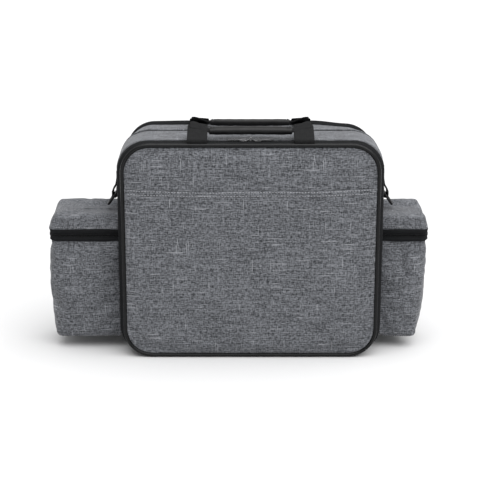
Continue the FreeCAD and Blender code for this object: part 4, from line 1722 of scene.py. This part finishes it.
# ---- pouches ----
@dataclass
class SidePouch:
    """Soft pouch on one side of the bag, with its zipped lid."""

    side: Side
    body_low: float = 20.0 * MM
    rim: float = 180.0 * MM
    corner: float = 12.0 * MM
    cloth: float = 1.3 * MM
    lining_cloth: float = 0.6 * MM
    tape: float = 0.7 * MM
    tooth: float = 2.4 * MM
    foot: float = 7.0 * MM
    shoulder: float = 7.0 * MM
    rear_rise: float = 5.0 * MM
    ring_hollow: float = 1.3 * MM
    around: int = 150
    fold_half: float = 6.0 * MM
    lid_rise: float = 2.0 * MM

    def __post_init__(self) -> None:
        """Read the pouch's sizes from its CAD nodes."""
        word = self.side.word
        low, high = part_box(f"{word}_pouch_shell")
        lid_low, lid_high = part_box(f"{word}_lid_shell")
        root_low, root_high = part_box(f"{word}_lid_root")
        sign = self.side.value
        self.sewn = min(abs(low.x), abs(high.x))
        self.out_top = max(abs(low.x), abs(high.x))
        taper, self.lean, self.seed = (4.5, 8.0, 3.0) if self.side is Side.LEFT else (10.0, 7.5, 11.0)
        self.out_low = self.out_top - taper * MM
        self.y = (low.y + high.y) / 2
        self.half = (high.y - low.y) / 2
        self.lid_out = max(abs(lid_low.x), abs(lid_high.x))
        self.lid_half = (lid_high.y - lid_low.y) / 2
        self.lid_low, self.lid_top = lid_low.z, lid_high.z
        self.fold = (max(abs(root_low.x), abs(root_high.x)) + min(abs(lid_low.x), abs(lid_high.x))) / 2
        self.sign = sign
        self.body = f"{word}_lid"

    def plan(self, out: float, half: float, inner: float = 2.0 * MM) -> Loop:
        """Plan outline, as on the right-hand side of the bag."""
        return Loop(self.sewn, out, self.y - half, self.y + half, (self.corner, self.corner, inner, inner))

    def shape(self, loop: Loop, shares: np.ndarray, z: np.ndarray | float) -> tuple[np.ndarray, np.ndarray]:
        """Points and outward directions of a plan outline at a height."""
        flat, outward = loop.at(shares)
        points = np.stack([flat[:, 0] * self.sign, flat[:, 1], np.broadcast_to(z, flat[:, 0].shape)], axis=1)
        out = np.stack([outward[:, 0] * self.sign, outward[:, 1], np.zeros(len(flat))], axis=1)
        return points, out

    def open_shares(self, loop: Loop, count: int, tuck: float = 0.0) -> np.ndarray:
        """Shares of a plan outline from the bag's side round the outside and back, evenly spaced."""
        reach = ((loop.right - loop.left) / 2 - tuck) / loop.length
        tall = (loop.high - loop.low) / loop.length
        return np.linspace(-reach, 1.0 - reach - tall - 2 * tuck / loop.length, count)

    def build(self) -> None:
        """Make the pouch, its lining, zip band and lid."""
        self.tub()
        self.lining()
        self.zip_band()
        self.lid()

    def skin(self, levels: Sequence[tuple[float, float]],
             plan_at: Callable[[float, float], Loop]) -> tuple[np.ndarray, np.ndarray]:
        """Loops of points, and their outward directions, from each one's height and how far it is pulled in."""
        shares = np.arange(self.around) / self.around
        made = [self.shape(plan_at(z, pull), shares, z) for z, pull in levels]
        return np.array([points for points, _ in made]), np.array([out for _, out in made])

    def settle(self, piece: Piece, loops: np.ndarray, held: np.ndarray, shrink: float, cap: float,
               frames: int = 20) -> np.ndarray:
        """Let a skin settle as cloth, held at its rim and against the bag.

        Args:
            piece: the skin.
            loops: its loops of points.
            held: True at the points that are held as well.
            shrink: share by which the cloth is cut smaller.
            cap: furthest that a point may move.
            frames: length of the simulation.

        Returns:
            The settled loops.
        """
        pinned = np.where(held | (np.abs(loops[..., 0]) < self.sewn + 1.5 * MM), 1.0, 0.0)
        pinned[:2] = 1.0
        settled = relax(piece, np.append(pinned, 0.0), 0.9, shrink, cap, frames)
        settled[:, 2] = np.maximum(settled[:, 2], self.body_low - 1.0 * MM)
        set_vertices(piece, settled)
        return settled[:-1].reshape(loops.shape)

    def seam(self, line: np.ndarray, out: np.ndarray, proud: float) -> Path:
        """Sewn line round the three free sides, from a whole loop of points."""
        keep = np.flatnonzero(np.abs(line[:, 0]) > self.sewn + 2 * MM)
        keep = keep[np.argsort(np.mod(keep + self.around // 3, self.around))]
        return Path(line[keep] + out[keep] * proud, out[keep])

    def wall_loops(self, inset: float, rim: float, low: float, rows: int) -> tuple[np.ndarray, np.ndarray]:
        """Loops from the rim down the walls, round the foot and in under the base.

        Args:
            inset: how far inside the outer face they run.
            rim: height of the first loop.
            low: height of the base.
            rows: number of wall loops.

        Returns:
            The points and their outward directions.
        """
        levels = [(z, 0.0) for z in np.linspace(rim, low + self.foot, rows)]
        levels += [(low + self.foot * (1 - math.sin(a)), self.foot * (1 - math.cos(a)))
                   for a in np.radians([22, 45, 67, 90])]
        reach = min(self.out_low - self.sewn, 2 * self.half) / 2 - inset - 2.0 * MM
        levels += [(low, self.foot + (reach - self.foot) * part) for part in (0.2, 0.4, 0.6, 0.8, 1.0)]

        def plan_at(z: float, pull: float) -> Loop:
            """Plan of the tapered wall at a height."""
            share = np.clip((z - self.body_low) / (self.rim - self.body_low), 0.0, 1.0)
            out = self.out_low + (self.out_top - self.out_low) * share
            return self.plan(out, self.half - 1.5 * MM * (1.0 - share)).inset(inset + pull)

        return self.skin(levels, plan_at)

    def tub(self) -> None:
        """Soft outer walls and base, wrinkled and settled as cloth."""
        word, rows = self.side.word, 34
        loops, out = self.wall_loops(0.0, self.rim, self.body_low, rows)
        z = loops[..., 2]
        near_rim = step(z, self.rim, self.rim - 16 * MM)
        away = step(np.abs(loops[..., 0]), self.sewn + 1.0 * MM, self.sewn + 26 * MM)
        belly = np.sin(np.clip((z - self.body_low) / (self.rim - self.body_low), 0, 1) * math.pi) ** 0.7
        folds = ripple(loops * np.array([1.0, 1.0, 0.55]), 30 * MM, self.seed) * 1.5
        folds += ripple(loops * np.array([1.0, 1.0, 1.6]), 17 * MM, self.seed + 7.0) * 0.6
        hang = -np.abs(ripple(loops * np.array([0.4, 0.4, 1.0]), 40 * MM, self.seed + 20.0)) * 1.2
        lift = (belly * 2.2 + (folds + hang) * near_rim) * away * MM
        loops = loops + out * lift[..., None]
        loops[..., 2] = np.maximum(loops[..., 2], self.body_low)
        piece = tub(f"{word}_pouch", loops)
        loops = self.settle(piece, loops, np.zeros(loops.shape[:2], dtype=bool), -0.035, 5.0 * MM)
        thicken(piece, self.cloth)
        dress(piece, HEATHER, "carcass", (f"{word}_pouch_shell",))
        seam = self.seam(loops[rows + 2], out[rows + 2], 0.3 * MM)
        Stitch().sew(f"{word}_pouch_foot_stitching", seam, THREAD, "carcass")

    def lining(self) -> None:
        """Lining inside the pouch."""
        word = self.side.word
        loops, out = self.wall_loops(3.4 * MM, self.rim - 3.0 * MM, self.body_low + 2.2 * MM, 22)
        away = step(np.abs(loops[..., 0]), self.sewn + 4.5 * MM, self.sewn + 20 * MM)
        loops = loops - out * (np.abs(ripple(loops, 26 * MM, self.seed + 31.0)) * away * 0.9 * MM)[..., None]
        piece = tub(f"{word}_pouch_lining_cloth", loops)
        thicken(piece, self.lining_cloth)
        dress(piece, LINING, "carcass", (f"{word}_pouch_lining",))

    def flap(self, piece: Piece) -> None:
        """Fix a piece's place into its mesh; it rides on no body."""
        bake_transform(piece)

    def ribbon(self, name: str, loop: Loop, levels: Sequence[tuple[float, float]]) -> Piece:
        """Upright tape round three sides, given its heights and how far out it stands at each."""
        shares = self.open_shares(loop, 150)
        outer, inner = [], []
        for z, out in levels:
            points, outward = self.shape(loop, shares, z)
            swell = self.band_swell(points, z)
            outer.append(points + outward * (out + swell)[:, None])
            inner.append(points + outward * (out + swell - self.tape)[:, None])
        outer_grid, inner_grid = np.stack(outer, axis=1), np.stack(inner, axis=1)
        length = shares * loop.length
        uv = np.stack(np.meshgrid(length, [z for z, _ in levels], indexing="ij"), axis=-1)
        return dress(slab(name, outer_grid, inner_grid, uv=uv), TAPE)

    def band_swell(self, points: np.ndarray, z: float) -> np.ndarray:
        """Gentle bow of the zip band and the lid's lower edge, more on the outer side."""
        away = step(np.abs(points[:, 0]), self.sewn + 2 * MM, self.sewn + 30 * MM)
        places = np.stack([points[:, 0], points[:, 1], np.full(len(points), z * 0.3)], axis=1)
        wave = ripple(places, 42 * MM, self.seed + 2)
        return away * (0.9 + 0.9 * wave) * MM

    def zip_band(self) -> None:
        """Lower tape on the pouch, upper tape on the lid, and the coil between them."""
        word = self.side.word
        seam = (self.rim + self.lid_low) / 2
        loop = self.plan(self.out_top + 0.6 * MM, self.half + 0.3 * MM, 0.5 * MM)
        rim, edge = self.rim, self.lid_low
        low_levels = ((rim - 1.5 * MM, -2.0 * MM), (rim + 0.8 * MM, 0.9 * MM), (rim + 2.2 * MM, 1.5 * MM),
                      (rim + 4 * MM, 0.9 * MM), (seam - 0.5 * MM, 0.7 * MM))
        high_levels = ((seam + 0.5 * MM, 0.7 * MM), (edge - 3.5 * MM, 1.1 * MM), (edge - 1.6 * MM, 1.9 * MM),
                       (edge - 0.2 * MM, 1.2 * MM), (edge + 2 * MM, -1.6 * MM))
        lower = self.ribbon(f"{word}_zip_lower_tape", loop, low_levels)
        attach(lower, "carcass")
        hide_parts(f"{word}_pouch_zip_tape")
        upper = self.ribbon(f"{word}_zip_upper_tape", loop, high_levels)
        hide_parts(f"{word}_lid_zip_tape")
        self.flap(upper)
        shares = self.open_shares(loop, 320, 3 * MM)
        for label, height in (("lower", -1.15 * MM), ("upper", 1.15 * MM)):
            points, outward = self.shape(loop, shares, seam + height)
            lift = self.band_swell(points, seam) + 0.9 * MM
            row = Path(points + outward * lift[:, None], outward).shape(
                f"{word}_zip_{label}_coil", unit_tree, COIL, spacing=BodyZips.pitch, length=BodyZips.tooth[0],
                width=self.tooth, height=BodyZips.tooth[2])
            dress(row, COIL, "carcass" if label == "lower" else None)
            if label == "upper":
                self.flap(row)

    def lid(self) -> None:
        """Puffy lid: one piece of cloth from the bag to its outer edge."""
        word, top, bend = self.side.word, self.lid_top, 6 * MM
        lean, narrower, shoulder = self.lean * MM, 2.8 * MM, self.shoulder
        levels = [(z, 0.0) for z in np.linspace(self.lid_low, top - shoulder, 7)]
        levels += [(top - shoulder + shoulder * math.sin(a), bend * (1 - math.cos(a)))
                   for a in np.radians([20, 40, 60, 75, 90])]
        reach = min((self.lid_out - lean - self.sewn) / 2, self.lid_half - narrower) - 2.0 * MM
        levels += [(top, bend + (reach - bend) * part) for part in np.linspace(0.08, 1.0, 8)]

        def plan_at(z: float, pull: float) -> Loop:
            """Plan of the leaning lid at a height, always sewn to the bag."""
            share = np.clip((z - self.lid_low) / (top - self.lid_low), 0.0, 1.0)
            loop = self.plan(self.lid_out - lean * share, self.lid_half - narrower * share).inset(pull)
            return replace(loop, left=self.sewn)

        loops, out = self.skin(levels, plan_at)
        row = np.arange(len(levels))[:, None]
        away = step(np.abs(loops[..., 0]), self.sewn + 1 * MM, self.sewn + 24 * MM)
        low_part = step(row, 1.0, 6.0)
        folds = (ripple(loops * np.array([1.0, 1.0, 0.7]), 26 * MM, self.seed + 40) * 0.9
                 + ripple(loops, 12 * MM, self.seed + 50) * 0.35)
        loops = loops + out * ((folds * low_part) * away * MM + 0.6 * MM * away)[..., None]
        inside = np.abs(loops[..., 0]) - self.sewn
        depth = np.minimum(inside, self.lid_out - self.sewn - inside) / (40 * MM)
        puff = step(row, 10.0, 16.0) * np.clip(depth, 0.0, 1.0) ** 0.7 * self.lid_rise
        wrinkle = (ripple(loops * np.array([1.3, 0.6, 1.0]), 30 * MM, self.seed + 60) * 1.1
                   + ripple(loops, 13 * MM, self.seed + 66) * 0.4) * step(row, 8.0, 14.0) * away
        tall = self.rear_rise * step(loops[..., 1], 12 * MM, self.y + 0.8 * self.half) * step(row, 3.0, 10.0)
        beside_ring = step(np.abs(loops[..., 1]), 19 * MM, 29 * MM)
        past_ring = step(np.abs(loops[..., 0]) - self.fold, 28 * MM, 42 * MM)
        room = np.maximum(beside_ring, past_ring)
        hollow = self.ring_hollow * (1.0 - room) * step(row, 8.0, 11.0)
        loops[..., 2] += (puff + wrinkle * MM + tall) * room - hollow
        piece = tub(f"{word}_lid_cloth", loops)
        loops = self.settle(piece, loops, (room < 0.8) & (row > 8), -0.03, 3.5 * MM, 16)
        thicken(piece, self.cloth)
        dress(piece, HEATHER, None, (f"{word}_lid_root", f"{word}_lid_shell"))
        self.flap(piece)
        seam = self.seam(loops[1] * 0.55 + loops[2] * 0.45, out[1], 0.25 * MM)
        self.flap(Stitch(2.4 * MM, 1.2 * MM).sew(f"{word}_lid_stitching", seam, PALE_THREAD, None))


# ---- strap rings ----
@dataclass
class StrapRing:
    """Webbing tab on the bag's side and the ring that hangs from it."""

    bag: BagFrame
    side: Side
    web_thick: float = 2.3 * MM
    loop_radius: float = 3.6 * MM
    bar_inset: float = 4.3 * MM
    layer: float = 2.5 * MM
    flank: float = 207.0 * MM

    def build(self) -> None:
        """Make the tab, its stitching and the ring."""
        word, sign = self.side.word, self.side.value
        low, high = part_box(f"{word}_ring_tab")
        half = (high.y - low.y) / 2
        bar_x = max(abs(low.x), abs(high.x)) - self.bar_inset
        bar_z = low.z + self.bar_inset
        top = high.z - 0.5 * MM
        heights = np.linspace(top, bar_z + 6 * MM, 16)
        face = np.array([[self.flank, 0.0, z] for z in heights])
        lie = self.flank + self.bag.swell(face) + 0.5 * MM
        down = [(x, z) for x, z in zip(lie, heights)]
        ease = step(heights, bar_z + 34 * MM, bar_z + 8 * MM)
        back = [(x * (1 - e) + (bar_x - self.loop_radius) * e, z) for (x, z), e in zip(down, ease)]
        turn = np.radians(np.linspace(180, 360, 13))
        bend = [(bar_x + self.loop_radius * math.cos(a), bar_z + self.loop_radius * math.sin(a)) for a in turn]
        close = step(heights, bar_z + 16 * MM, bar_z + 5 * MM)
        front = [(x + self.layer + (bar_x + self.loop_radius - x - self.layer) * c, z)
                 for (x, z), c in zip(back[::-1], close[::-1])]
        route = np.array(back + bend + front)
        tangent = np.gradient(route, axis=0)
        tangent /= np.linalg.norm(tangent, axis=1, keepdims=True)
        normal = np.stack([-tangent[:, 1], tangent[:, 0]], axis=1)
        ys = np.linspace(-half, half, 13)

        def grid(offset: float) -> np.ndarray:
            """Points of the webbing at an offset from its middle."""
            line = route + normal * offset
            return np.stack(np.broadcast_arrays(line[:, 0:1] * sign, ys, line[:, 1:2]), axis=-1)

        uv = np.stack(np.meshgrid(spread(route), ys, indexing="ij"), axis=-1)
        tab = slab(f"{word}_ring_webbing", grid(self.web_thick / 2), grid(-self.web_thick / 2), uv=uv)
        dress(tab, WEBBING, "carcass", (f"{word}_ring_tab",))
        box_top, box_low = top - 3 * MM, top - 17 * MM
        inner_y = half - 2.5 * MM
        corners = [(-inner_y, box_low), (inner_y, box_low), (inner_y, box_top), (-inner_y, box_top),
                   (-inner_y, box_low), (inner_y, box_top), (inner_y, box_low), (-inner_y, box_top)]
        sewn_y, sewn_z = sewn_figure(corners, 12)
        sewn_x = np.interp(sewn_z, heights[::-1], lie[::-1]) + 2.1 * MM + self.web_thick / 2 + 0.1 * MM
        points = np.stack([sewn_x * sign, sewn_y, sewn_z], axis=1)
        out = np.tile([float(sign), 0.0, 0.0], (len(points), 1))
        Stitch(2.2 * MM, 0.9 * MM).sew(f"{word}_ring_tab_stitching", Path(points, out), THREAD, "carcass")
        ring = bevelled_copy(f"{word}_d_ring", f"{word}_strap_ring", 0.25 * MM)
        dress(ring, MOULDED, f"{word}_ring", (f"{word}_d_ring",))


# ---- sliders ----
@dataclass
class ZipHardware:
    """Enamelled sliders and pulls of every zip."""

    edge: float = 0.28 * MM

    def build(self) -> None:
        """Round and enamel each slider and pull."""
        for body in frame["bodies"]:
            if "slider" in body or "pull" in body:
                piece = bevelled_copy(body, f"{body}_metal", self.edge)
                dress(piece, ENAMEL, body, (body,))


# ---- studio ----
@dataclass
class Studio:
    """Pale floor, soft lights and the camera."""

    lens: float = 102.0
    distance: float = 2.2
    elevation: float = math.radians(15.5)
    aim: Triple = (-0.0163, 0.0, 0.1686)
    floor_half: float = 60.0

    def build(self) -> None:
        """Set up the studio."""
        self.floor()
        self.lights()
        self.camera()
        bpy.context.scene.view_settings.view_transform = "Standard"

    def floor(self) -> None:
        """Wide matt floor."""
        half = self.floor_half
        points = np.array([[-half, -half, 0.0], [half, -half, 0.0], [half, half, 0.0], [-half, half, 0.0]])
        floor = new_object("studio_floor", points - np.array([0.0, 0.0, 0.3 * MM]), [(0, 1, 2, 3)])
        floor.data.materials.append(Paper().material())

    def lights(self) -> None:
        """Even white surroundings with soft boxes above and beside."""
        world = bpy.data.worlds.new("studio")
        bpy.context.scene.world = world
        world.use_nodes = True
        world.node_tree.nodes["Background"].inputs["Color"].default_value = (1.0, 1.0, 1.0, 1.0)
        world.node_tree.nodes["Background"].inputs["Strength"].default_value = 0.64
        lamps = (("sky_sun", "SUN", (0.34, -0.36, 1.5), 1.45, 3.75),
                 ("front_box", "AREA", (1.5, -1.9, 1.1), 1.1, 5.0))
        for name, kind, place, size, power in lamps:
            lamp = bpy.data.lights.new(name, kind)
            setattr(lamp, "angle" if kind == "SUN" else "size", size)
            lamp.energy = power
            made = add_object(name, lamp)
            made.location = place
            made.rotation_euler = (Vector((0.0, 0.0, 0.17)) - Vector(place)).to_track_quat("-Z", "Y").to_euler()

    def camera(self) -> None:
        """Camera in front of the bag, looking slightly down."""
        lens = bpy.data.cameras.new("camera")
        lens.lens = self.lens
        lens.sensor_width = 36.0
        camera = add_object("camera", lens)
        back = Vector((0.0, -math.cos(self.elevation), math.sin(self.elevation)))
        camera.location = Vector(self.aim) + back * self.distance
        camera.rotation_euler = (-back).to_track_quat("-Z", "Y").to_euler()
        bpy.context.scene.camera = camera


def main() -> None:
    """Build the bag round its frame."""
    logging.basicConfig(level=logging.INFO, format="%(name)s: %(message)s")
    bag = BagFrame.read()
    Carcass(bag).build()
    BodyZips(bag).build()
    front = PaddedPanel(bag, Face.FRONT)
    front.build()
    SlipPocket(front).build()
    PaddedPanel(bag, Face.REAR).build()
    for face in Face:
        CarryHandle(face).build()
    for side in Side:
        SidePouch(side).build()
        StrapRing(bag, side).build()
    ZipHardware().build()
    Studio().build()


if __name__ == "__main__":
    main()
